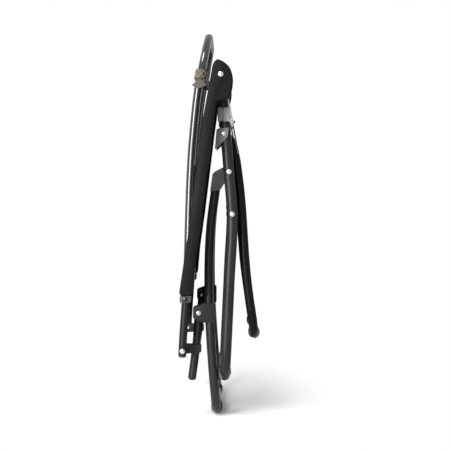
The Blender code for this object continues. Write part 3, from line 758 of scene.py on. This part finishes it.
def plugs(name, stem, ends, half_width, radius, body, material, slot, crown=0.0032):
    """Domed plugs on a frame's free ends: a collar against the tube and a low crown.

    The ends are the line's last point and the one before it.
    """
    end, before = (Vector(p) for p in ends)
    turn = turn_to((end - before).normalized())
    collar = 0.0022
    dome = [(radius * math.cos(math.radians(a)), collar + crown * math.sin(math.radians(a)))
            for a in range(0, 90, 10)]
    profile = [(0.0, CLEARANCE), (radius - 0.0004, CLEARANCE), (radius - 0.0001, 2 * CLEARANCE), *dome,
               (0.0, collar + crown)]
    shapes = []
    for _, sign in SIDES:
        mesh = turned(profile)
        mesh.transform(Matrix.Translation(solid(end, sign * half_width)) @ turn)
        shapes.append(mesh)
    pair(name, stem, shapes, material, body, slot)


def foot_ring(centre, bar, swing, grow=0.0, steps=40):
    """A round sleeve's outline around a bar, with a narrow flat sole towards the floor."""
    tilt = math.radians(swing)
    down = Vector((-math.sin(tilt), -math.cos(tilt)))
    across = Vector((-down.y, down.x))
    radius = bar + FOOT_WALL + grow
    sole = math.acos((bar + FOOT_SOLE) / radius)
    ring = []
    for step in range(steps + 1):
        turn = sole + (2 * math.pi - 2 * sole) * step / steps
        ring.append(tuple(Vector(centre) + (down * math.cos(turn) + across * math.sin(turn)) * radius))
    return ring


def feet(name, stem, centre, bar, swing, body):
    """Rubber feet on a cross bar, with raised bands round them."""
    sleeve = foot_ring(centre, bar, swing)
    shapes = [slab(sleeve, sign * FOOT_INNER, sign * FOOT_OUTER, 0.0022) for _, sign in SIDES]
    raised = foot_ring(centre, bar, swing, BAND_RISE)
    for side, sign in SIDES:
        start = min(sign * FOOT_INNER, sign * FOOT_OUTER) + BAND_START
        source = add_object(name + "_band", slab(raised, start, start + BAND_WIDTH, BAND_RISE, 3))
        row = RIBS.make(name + "_bands_" + side, source, RUBBER, Count=BANDS, Step=BAND_STEP)
        shapes.append(row.data.copy())
        drop(row)
    pair(name, stem, shapes, RUBBER, body, "black_rubber")


def plates(name, stem, outline, inner, outer, rim, body, material=SATIN):
    """The same plate on both sides of the chair."""
    shapes = [slab(outline, sign * inner, sign * outer, rim) for _, sign in SIDES]
    pair(name, stem, shapes, material, body, "satin_black")


def seat_axle():
    axle = tubes("axle_tube", [[solid(SEAT_PIVOT, y) for y in (-AXLE_HALF, AXLE_HALF)]], AXLE_TUBE, SATIN)
    dress(axle, "seat_axle", "satin_black", "seat_axle")
    rivets("seat_rivet", SEAT_PIVOT, LEG_OUTSIDE, SEAT_INSIDE - AXLE_GRIP, "seat_axle")


def rear_legs():
    frame_tube = tubes("rear_leg_tube", [bent_u(REAR_LEG_LINE, LEG_HALF, BEND)], REAR_LEG_TUBE, SATIN)
    dress(frame_tube, "rear_legs", "satin_black", "rear_leg_frame")
    feet("rear_feet", "rear_foot", REAR_LEG_LINE[-1], REAR_LEG_TUBE, REAR_LEG_SWING, "rear_legs")
    outline = rounded(from_pivot(LEG_HINGE, HINGE_BRACKET), 0.0045)
    plate_face = LEG_OUTSIDE + BRACKET_PLATE
    plates("hinge_plates", "hinge_bracket", outline, LEG_OUTSIDE + CLEARANCE, plate_face, 0.0011,
           "rear_legs", SATIN_WITH_MORE_PAINTED_LIGHT)
    rivets("hinge_rivet", LEG_HINGE, plate_face, SEAT_INSIDE - RIVET_END, "rear_legs")
    rivets("stop_rivet", LEG_STOP, LEG_OUTSIDE, SEAT_INSIDE + RIVET_END, "rear_legs")
    leg_gap = 0.0008
    stop = min((p - Vector(LEG_STOP)).length for p in smooth_line(FRONT_LEG_LINE)) - FRONT_LEG_TUBE - leg_gap
    bushes("stop_bushes", "stop_bush", LEG_STOP, SEAT_INSIDE, LEG_INSIDE, stop, "rear_legs")
    rod_guides()


def rod_way():
    """The stop rods' direction in the side view."""
    return (Vector(ROD_GUIDE) - Vector(ROD_PIVOT)).normalized()


def rod_guides():
    """A split collar round each rear leg, and the eye on it that guides the stop rod."""
    eye_x, eye_z = ROD_GUIDE
    low, high = eye_z + GUIDE_LOW, eye_z + GUIDE_HIGH
    middle = at_height(REAR_LEG_LINE, (low + high) / 2)
    reach = REAR_LEG_TUBE + GUIDE_WALL
    split, slot, strip_half, strip_end = middle - 0.0035, GUIDE_SLOT / 2, 0.003, 0.004
    strip = [(split - strip_half, low + strip_end), (split + strip_half, low + strip_end),
             (split + strip_half, high - strip_end), (split - strip_half, high - strip_end)]
    root, web_tip = middle + REAR_LEG_TUBE - 0.001, eye_x - 0.0050
    web = [(root, low), (web_tip, eye_z - 0.0025), (web_tip, eye_z + 0.0035), (root, low + 0.012)]
    shapes = []
    for _, sign in SIDES:
        inner, outer = sign * (LEG_HALF - reach), sign * (ROD_HALF - ROD_WIRE - CLEARANCE)
        for left, right in ((middle - reach, split - slot), (split + slot, middle + reach)):
            half = [(left, low), (right, low), (right, high), (left, high)]
            shapes.append(slab(rounded(half, 0.0035), inner, outer, 0.0012))
        shapes.append(slab(strip, inner + sign * 0.002, outer - sign * 0.0012, 0.0003))
        ring = turned(ROD_EYE, ring=True)
        ring.transform(Matrix.Translation(solid(ROD_GUIDE, sign * ROD_HALF)) @ turn_to(rod_way()))
        shapes.append(ring)
        shapes.append(slab(web, sign * (LEG_HALF + 0.004), sign * (ROD_HALF + 0.002), 0.0006))
    pair("rod_guides", "rod_collar", shapes, PALE, "rear_legs", "grey_plastic")


def front_legs():
    frame_tube = tubes("front_leg_tube", [bent_u(FRONT_LEG_LINE, SEAT_HALF, BEND)], FRONT_LEG_TUBE, SATIN_WITH_PAINTED_SHADE)
    dress(frame_tube, "front_legs", "satin_black", "front_leg_frame")
    feet("front_feet", "front_foot", FRONT_LEG_LINE[-1], FRONT_LEG_TUBE, FRONT_LEG_SWING, "front_legs")
    plugs("front_leg_plugs", "front_leg_plug", FRONT_LEG_LINE[:2], SEAT_HALF, FRONT_LEG_TUBE - PLUG_STEP,
          "front_legs", GREY, "grey_plastic")


def seat():
    frame_tube = tubes("seat_tube", [bent_u(SEAT_LINE, SEAT_HALF, BEND)], SEAT_TUBE, SATIN)
    dress(frame_tube, "seat", "satin_black", "seat_frame")
    feet("floor_pads", "floor_pad", SEAT_LINE[-1], SEAT_TUBE, 0.0, "seat")
    boss = arc(SEAT_PIVOT, BRACKET_BOSS, range(-90, 91, 10))
    bracket = from_pivot(SEAT_PIVOT, SEAT_BRACKET_BELOW) + boss + from_pivot(SEAT_PIVOT, SEAT_BRACKET_ABOVE)
    plates("seat_brackets", "seat_bracket", rounded(bracket, 0.003), SEAT_INSIDE, SEAT_OUTSIDE + 0.0005,
           SLEEVE_RIM, "seat", SATIN_WITH_PAINTED_LIGHT)
    x, z = HIP_PIVOT
    tube_x = at_height(SEAT_LINE, z)
    right, left, turn = tube_x + SEAT_TUBE + SLEEVE_WALL, x - SLEEVE_NOSE, tube_x - SLEEVE_NOSE
    low, high = z - SLEEVE_HALF, z + SLEEVE_HALF
    sleeve = [(right, low), (right, high), (turn, high), (left, z + SLEEVE_NOSE), (left, z - SLEEVE_NOSE),
              (turn, low)]
    sleeve_face = SEAT_OUTSIDE + SLEEVE_PROUD
    plates("hip_sleeves", "hip_sleeve", rounded(sleeve, 0.006), SEAT_INSIDE - SLEEVE_PROUD, sleeve_face,
           SLEEVE_RIM, "seat")
    rivets("hip_rivet", HIP_PIVOT, sleeve_face, LINK_INSIDE - RIVET_END, "seat")


def hip_links():
    paths = [[solid(p, sign * LINK_HALF) for p in smooth_line(LINK_LINE)] for _, sign in SIDES]
    dress(tubes("link_tubes", paths, LINK_TUBE, SATIN), "hip_links", "satin_black", *both("hip_link"))
    plugs("link_caps", "hip_link_cap", LINK_LINE[:-3:-1], LINK_HALF, LINK_TUBE - CLEARANCE, "hip_links",
          RUBBER, "black_rubber", crown=0.0065)
    x, z = BACK_PIVOT
    low, high = z - 0.014, z + 0.010
    right = at_height(LINK_LINE, (low + high) / 2) + LINK_TUBE + SLEEVE_WALL
    left = x - 0.011
    clamp = [(right, low + 0.0035), (right, high), (x + 0.0165, high), (x, z + 0.011), (left, z),
             (left, z - 0.0077), (x, low)]
    inner, outer = LINK_INSIDE - SLEEVE_WALL, LINK_OUTSIDE + SLEEVE_PROUD
    plates("back_clamps", "back_clamp", rounded(clamp, 0.0045), inner, outer, 0.0013, "hip_links")
    rivets("back_rivet", BACK_PIVOT, BACK_OUTSIDE, inner - RIVET_END, "hip_links")
    bushes("back_bushes", "back_spacer", BACK_PIVOT, outer, BACK_INSIDE, SPACER_RADIUS, "hip_links")


def back():
    frame_tube = tubes("back_tube", [bent_u(BACK_LINE, LEG_HALF, BACK_BEND)], BACK_TUBE, GLOSS)
    dress(frame_tube, "back", "gloss_black", "back_frame")
    plugs("back_plugs", "back_plug", BACK_LINE[:2], LEG_HALF, BACK_TUBE - PLUG_STEP, "back", GREY,
          "grey_plastic")


def armrests():
    """Moulded armrests with soft edges and a raised field on each face, and stepped rear collars."""
    disc = arc(ARM_PIVOT, ARM_DISC, range(190, -81, -10))
    panel = rounded(ARM_PANEL_LEFT + disc + ARM_PANEL_RIGHT, 0.006)
    faces = ((ARM_INSIDE - ARM_RAISE, ARM_INSIDE + ARM_PANEL_ROOT),
             (ARM_OUTSIDE - ARM_PANEL_ROOT, ARM_OUTSIDE + ARM_RAISE))
    shapes = []
    for _, sign in SIDES:
        shapes.append(slab(rounded(ARM_OUTLINE, 0.012), sign * ARM_INSIDE, sign * ARM_OUTSIDE, ARM_EDGE, 6))
        for low, high in faces:
            shapes.append(slab(panel, sign * low, sign * high, 0.0006, 3))
    pair("arm_mouldings", "armrest", shapes, ARM, "armrests", "arm_plastic")
    collar = rounded(from_pivot(ARM_REAR_PIVOT, ARM_COLLAR), 0.0045)
    inner, outer = ARM_INSIDE + COLLAR_INSET, ARM_OUTSIDE - COLLAR_INSET
    boss_seat = BACK_OUTSIDE + 2 * CLEARANCE
    shapes = []
    for _, sign in SIDES:
        shapes.append(slab(collar, sign * inner, sign * outer, 0.0014))
        boss = turned(ARM_BOSS, ring=True)
        boss.transform(Matrix.Translation(solid(ARM_REAR_PIVOT, sign * boss_seat))
                       @ Matrix.Rotation(-sign * math.pi / 2, 4, "X"))
        shapes.append(boss)
    pair("arm_collars", "arm_collar", shapes, GREY, "armrests", "grey_plastic")
    rivets("arm_rivet", ARM_PIVOT, ARM_OUTSIDE + ARM_RAISE, LEG_INSIDE - RIVET_END, "armrests")
    rivets("arm_rear_rivet", ARM_REAR_PIVOT, outer, boss_seat, "armrests", BLACKED)
    bushes("arm_bushes", "arm_spacer", ARM_PIVOT, LEG_OUTSIDE, ARM_INSIDE, SPACER_RADIUS, "armrests")


def stop_rods():
    """Wires that leave the armrests, bend, and run down through the guides."""
    start, along, steps = Vector(ROD_PIVOT), rod_way(), 6
    paths = []
    for _, sign in SIDES:
        path = [solid(start, sign * (ARM_INSIDE + ROD_HOLD)), solid(start, sign * (ROD_HALF + ROD_BEND))]
        for step in range(1, steps + 1):
            turn = math.radians(90.0 * step / steps)
            path.append(solid(start + along * ROD_BEND * (1.0 - math.cos(turn)),
                              sign * (ROD_HALF + ROD_BEND * (1.0 - math.sin(turn)))))
        path.append(solid(start + along * ROD_LENGTH, sign * ROD_HALF))
        paths.append(path)
    dress(tubes("stop_rod_wires", paths, ROD_WIRE, ROD, 16), "stop_rods", "rivet_steel", *both("stop_rod"))


class Sling:
    """A stretched sheet along a side-view line, hollowed a little between its two tubes."""

    def __init__(self, line, half_width, sag):
        self.half, self.sag = half_width, sag
        self.line = [Vector(p) for p in line]
        self.marks = [0.0]
        for a, b in zip(self.line, self.line[1:]):
            self.marks.append(self.marks[-1] + (b - a).length)
        self.length = self.marks[-1]

    def along(self, s):
        """The point of the line at a distance, and the line's direction there."""
        s = min(max(s, 0.0), self.length)
        for k in range(len(self.line) - 1):
            if s <= self.marks[k + 1] or k == len(self.line) - 2:
                span = self.marks[k + 1] - self.marks[k]
                way = (self.line[k + 1] - self.line[k]) / span
                return self.line[k] + way * (s - self.marks[k]), way

    def point(self, s, y, lift=0.0):
        """A point of the sheet. Lift is the distance from it, towards the side that the sheet hollows to."""
        here, way = self.along(s)
        normal = Vector((-way.y, way.x)) * (1.0 if self.sag > 0 else -1.0)
        ends = min(1.0, s / SAG_TAPER, (self.length - s) / SAG_TAPER)
        across = 1.0 - (y / self.half) ** 2
        ripple = RIPPLE * math.sin(y * RIPPLE_PITCH) * math.exp(-min(s, self.length - s) / RIPPLE_FADE)
        hollow = abs(self.sag) * across * (ends * ends * (3.0 - 2.0 * ends)) + ripple * across
        return solid(here + normal * (hollow + lift), y)

    def sheet(self, s_low, s_high, y_low, y_high, thickness, rows, columns):
        """A closed sheet between two distances and two places across, with its UV map in metres."""
        work = bmesh.new()
        cloth = work.loops.layers.uv.new("UVMap")
        layers = []
        for lift in (thickness / 2, -thickness / 2):
            grid = []
            for i in range(rows + 1):
                s = s_low + (s_high - s_low) * i / rows
                grid.append([(work.verts.new(self.point(s, y, lift)), y, s)
                             for y in (y_low + (y_high - y_low) * j / columns for j in range(columns + 1))])
            layers.append(grid)
        quads = []
        for grid in layers:
            for i in range(rows):
                for j in range(columns):
                    quads.append((grid[i][j], grid[i][j + 1], grid[i + 1][j + 1], grid[i + 1][j]))
        top, bottom = layers
        for i in range(rows):
            for j in (0, columns):
                quads.append((top[i][j], top[i + 1][j], bottom[i + 1][j], bottom[i][j]))
        for j in range(columns):
            for i in (0, rows):
                quads.append((top[i][j], top[i][j + 1], bottom[i][j + 1], bottom[i][j]))
        for quad in quads:
            face = work.faces.new([corner[0] for corner in quad])
            for loop, corner in zip(face.loops, quad):
                loop[cloth].uv = (corner[1], corner[2])
        return mesh_from(work)


def sling(name, body, shape):
    """A sheet with hems round it, beads along the tubes, and rows of stitches on the hems."""
    half, length = shape.half, shape.length
    inner = half - HEM_WIDTH
    columns, hem_steps, run_steps, row_steps = 56, 6, 80, 60
    cloth = show(name + "_sheet", shape.sheet(0.0, length, -half, half, CLOTH, 96, columns), MESH)
    strips = [shape.sheet(low, high, -half, half, HEM_THICKNESS, hem_steps, columns)
              for low, high in ((HEM_INSET, HEM_WIDTH), (length - HEM_WIDTH, length - HEM_INSET))]
    strips += [shape.sheet(HEM_WIDTH, length - HEM_WIDTH, low, high, HEM_THICKNESS, 84, hem_steps)
               for low, high in ((-half, -inner), (inner, half))]
    hems = show(name + "_hems", joined(strips), HEM)
    edge = half - BEAD_RADIUS * 0.6
    steps = [length * k / run_steps for k in range(run_steps + 1)]
    beads = tubes(name + "_beads", [[shape.point(s, sign * edge) for s in steps] for _, sign in SIDES],
                  BEAD_RADIUS, RUBBER, 14)
    face = HEM_THICKNESS / 2 + 0.0001
    rows = []
    for lift in (face, -face):
        for inset in (HEM_WIDTH - row for row in STITCH_ROWS):
            for s in (inset, length - inset):
                rows.append([shape.point(s, -inner + 2 * inner * k / row_steps, lift)
                             for k in range(row_steps + 1)])
            for _, sign in SIDES:
                rows.append([shape.point(HEM_WIDTH + (length - 2 * HEM_WIDTH) * k / run_steps,
                                         sign * (half - inset), lift) for k in range(run_steps + 1)])
    master = add_object(name + "_stitch", turned(STITCH, 6))
    stitches = STITCHES.make(name + "_stitches", path_object(name, rows), THREAD, Stitch=master,
                             Step=STITCH_STEP)
    drop(master)
    dress(cloth, body, "mesh_fabric", name)
    for piece in (hems, beads, stitches):
        dress(piece, body, "mesh_fabric")


def seat_fabric():
    """The seat's sheet, with the pocket round the axle that its front end is sewn to."""
    half = SEAT_INSIDE - SEAT_CLOTH_GAP
    pivot, off_axle = Vector(SEAT_PIVOT), Vector((-0.62, -0.78)).normalized()
    line = [pivot + off_axle * SEAT_WRAP, pivot + Vector((-0.029, -0.035))]
    line += [p for p in smooth_line(SEAT_LINE) if SEAT_CLOTH_LOW < p.y < SEAT_CLOTH_HIGH]
    bend = smooth_line([tuple(p) for p in line[:4]], 6)
    sling("seat_sling", "seat", Sling(bend + line[4:], half, SEAT_SAG))
    across = [solid(SEAT_PIVOT, half * (k / 20 - 1.0)) for k in range(41)]
    dress(tubes("seat_front_pocket", [across], POCKET_RADIUS, HEM, 28), "seat", "mesh_fabric")


def back_fabric():
    low, high = BACK_CLOTH_LOW, BACK_CLOTH_HIGH
    ends = [Vector((at_height(BACK_LINE, z), z)) for z in (low, high)]
    line = [ends[0]] + [p for p in smooth_line(BACK_LINE) if low < p.y < high] + [ends[1]]
    sling("back_sling", "back", Sling(line, BACK_INSIDE - CLEARANCE, BACK_SAG))


def strap_path(reach, steps=14, run_steps=24):
    """A ring round both tubes of the back frame: its points as (x, y), and their distances along it."""
    corner = [(reach * math.cos(math.pi * k / steps), reach * math.sin(math.pi * k / steps))
              for k in range(steps + 1)]
    runs = [LEG_HALF * (2.0 * k / run_steps - 1.0) for k in range(1, run_steps)]
    ring = [(a, -LEG_HALF - b) for a, b in corner]
    ring += [(-reach, y) for y in runs]
    ring += [(-a, LEG_HALF + b) for a, b in corner]
    ring += [(reach, -y) for y in runs]
    marks = [0.0]
    for a, b in zip(ring, ring[1:] + ring[:1]):
        marks.append(marks[-1] + math.dist(a, b))
    return ring, marks


def strap_band(place, middle):
    """The woven band, a little hollow across its face, with its UV map in metres."""
    work = bmesh.new()
    cloth = work.loops.layers.uv.new("UVMap")
    inner, marks = strap_path(STRAP_INNER)
    outer, _ = strap_path(STRAP_INNER + STRAP_THICKNESS)
    bottom, top = STRAP_BOTTOM + 0.0004, STRAP_TOP - 0.0004
    section = [(bottom, 0.0), (bottom, 0.25), (STRAP_BOTTOM + STRAP_EDGE, 1.0), (middle, 0.85),
               (STRAP_TOP - STRAP_EDGE, 1.0), (top, 0.25), (top, 0.0)]
    rows = []
    for z, share in section:
        points = [Vector(a).lerp(Vector(b), share) for a, b in zip(inner, outer)]
        rows.append(([work.verts.new(place(p.x, p.y, z)) for p in points], z))
    count = len(inner)
    for (a, za), (b, zb) in zip(rows, rows[1:] + rows[:1]):
        for k in range(count):
            n = (k + 1) % count
            face = work.faces.new((a[k], a[n], b[n], b[k]))
            spots = ((marks[k], za), (marks[k + 1], za), (marks[k + 1], zb), (marks[k], zb))
            for loop, spot in zip(face.loops, spots):
                loop[cloth].uv = spot
    return show("strap_band", mesh_from(work), STRAP)


def strap_flap():
    """The strap's kite-shaped tail on the near side."""
    corner = (at_height(BACK_LINE, STRAP_BOTTOM), STRAP_BOTTOM - CLEARANCE)
    outline = rounded(from_pivot(corner, STRAP_TAIL), 0.0015)
    face = -BACK_OUTSIDE - 0.0004
    flap = slab(outline, face, face - STRAP_THICKNESS, 0.0006)
    layer = flap.uv_layers.new(name="UVMap")
    for loop in flap.loops:
        spot = flap.vertices[loop.vertex_index].co
        layer.data[loop.index].uv = (spot.x, spot.z)
    return show("strap_flap", flap, STRAP)


def strap():
    """A woven band round the back frame, corded crosswise, and its tail."""
    middle = (STRAP_BOTTOM + STRAP_TOP) / 2
    width = STRAP_TOP - STRAP_BOTTOM
    centre = at_height(BACK_LINE, middle)
    lean = (at_height(BACK_LINE, STRAP_TOP) - at_height(BACK_LINE, STRAP_BOTTOM)) / width

    def place(x, y, z):
        return Vector((centre + x + lean * (z - middle), y, z))

    band = strap_band(place, middle)
    ring, marks = strap_path(STRAP_INNER + STRAP_THICKNESS, 28)
    total = marks[-1]
    turns = round(total / CORD_PITCH)
    paths = []
    for phase in (0.0, 0.5):
        path = []
        for (x, y), mark in zip(ring, marks):
            swing = abs(((mark / total * turns + phase) % 1.0) * 2.0 - 1.0)
            path.append(place(x, y, STRAP_BOTTOM + CORD_MARGIN + (width - 2 * CORD_MARGIN) * swing))
        paths.append(path)
    cords = tubes("strap_cords", paths, CORD_RADIUS, CORD, 8, True)
    dress(band, "back", "webbing", "back_strap")
    dress(cords, "back", "webbing")
    dress(strap_flap(), "back", "webbing", "strap_tail")


def camera():
    """Almost square to the side, a little from above, at the photograph's scale on the chair's near side."""
    distance, near_side, picture, sensor = 3.2, -0.27, 1.1139, 36.0
    aside, height, tilt = 0.0142, 0.65, 2.84
    data = bpy.data.cameras.new("camera")
    data.sensor_width = sensor
    data.lens = sensor * distance / picture
    eye = add_object("camera", data)
    eye.location = (aside, near_side - distance, height)
    eye.rotation_euler = (math.radians(90.0 - tilt), 0.0, 0.0)
    bpy.context.scene.camera = eye


def lamp(name, place, aim, width, height, power):
    data = bpy.data.lights.new(name, "AREA")
    data.shape = "RECTANGLE"
    data.size, data.size_y, data.energy = width, height, power
    made = add_object(name, data)
    made.location = place
    made.rotation_euler = (Vector(aim) - Vector(place)).to_track_quat("-Z", "Y").to_euler()


def white_surroundings(tree):
    """Strength of the white surroundings: 1 where they are seen or mirrored, less as light on the chair."""
    light = Wire(tree, tree.nodes.new("ShaderNodeLightPath").outputs["Is Camera Ray"])
    rays = light.socket.node.outputs
    seen = light.math("MAXIMUM", light, Wire(tree, rays["Is Glossy Ray"]))
    seen = light.math("MAXIMUM", seen, Wire(tree, rays["Is Transmission Ray"]))
    return seen * (1.0 - SKY_LIGHT) + SKY_LIGHT


def studio():
    """White surroundings, a key lamp from the upper left, and strip lamps that streak the tubes."""
    middle = (0.0, 0.0, 0.5)
    lamp("key_lamp", (-1.1, -1.5, 3.1), (0.0, 0.0, 0.2), 1.1, 1.1, 95.0)
    lamp("left_softbox", (-1.1, -1.9, 0.6), middle, 1.2, 1.7, 34.0)
    lamp("left_strip", (-1.0, -1.8, 0.6), middle, 0.45, 1.7, 60.0)
    lamp("front_softbox", (-0.55, -3.2, 0.7), middle, 0.5, 1.5, 14.0)
    lamp("right_strip", (1.9, -1.0, 0.7), middle, 0.25, 1.6, 3.0)
    world = bpy.data.worlds.new("white_studio")
    bpy.context.scene.world = world
    world.use_nodes = True
    tree = world.node_tree
    background = tree.nodes["Background"]
    background.inputs["Color"].default_value = (1.0, 1.0, 1.0, 1.0)
    tree.links.new(white_surroundings(tree).socket, background.inputs["Strength"])


def floor():
    """A pale floor that fades into the white surroundings away from the chair."""
    half, fade = 2.5, 1.05
    mesh = bpy.data.meshes.new("floor")
    mesh.from_pydata([(-half, -half, 0.0), (half, -half, 0.0), (half, half, 0.0), (-half, half, 0.0)], [],
                     [(0, 1, 2, 3)])
    pale = Finish("pale_floor", Base_Color=(0.97, 0.97, 0.97, 1.0), Roughness=0.9, Specular_IOR_Level=0.0)
    tree, place = pale.tree, pale.place
    # Painted light: the floor turns into white glow with distance from the point (0, -0.2), three times
    # faster across the width, and this fades the chair's cast shadow out.
    spread = place.node("ShaderNodeMapping", None,
                        {"Vector": place, "Location": (0.0, 0.2, 0.0), "Scale": (3.0, 1.0, 1.0)})
    reach = place.node("ShaderNodeVectorMath", {"operation": "LENGTH"}, {0: spread}, "Value")
    white = place.node("ShaderNodeEmission", None,
                       {"Color": (1.0, 1.0, 1.0, 1.0), "Strength": white_surroundings(tree)})
    mixed = place.node("ShaderNodeMixShader", None,
                       {0: reach.ramp(0.0, fade), 1: Wire(tree, pale.shader.outputs[0]), 2: white})
    tree.links.new(mixed.socket, tree.nodes["Material Output"].inputs["Surface"])
    pale.material.cycles.emission_sampling = "NONE"
    mesh.materials.append(pale.material)
    add_object("floor", mesh)


bpy.context.scene.view_settings.view_transform = "Standard"
camera()
studio()
floor()
seat_axle()
rear_legs()
front_legs()
seat()
seat_fabric()
hip_links()
back()
back_fabric()
strap()
armrests()
stop_rods()
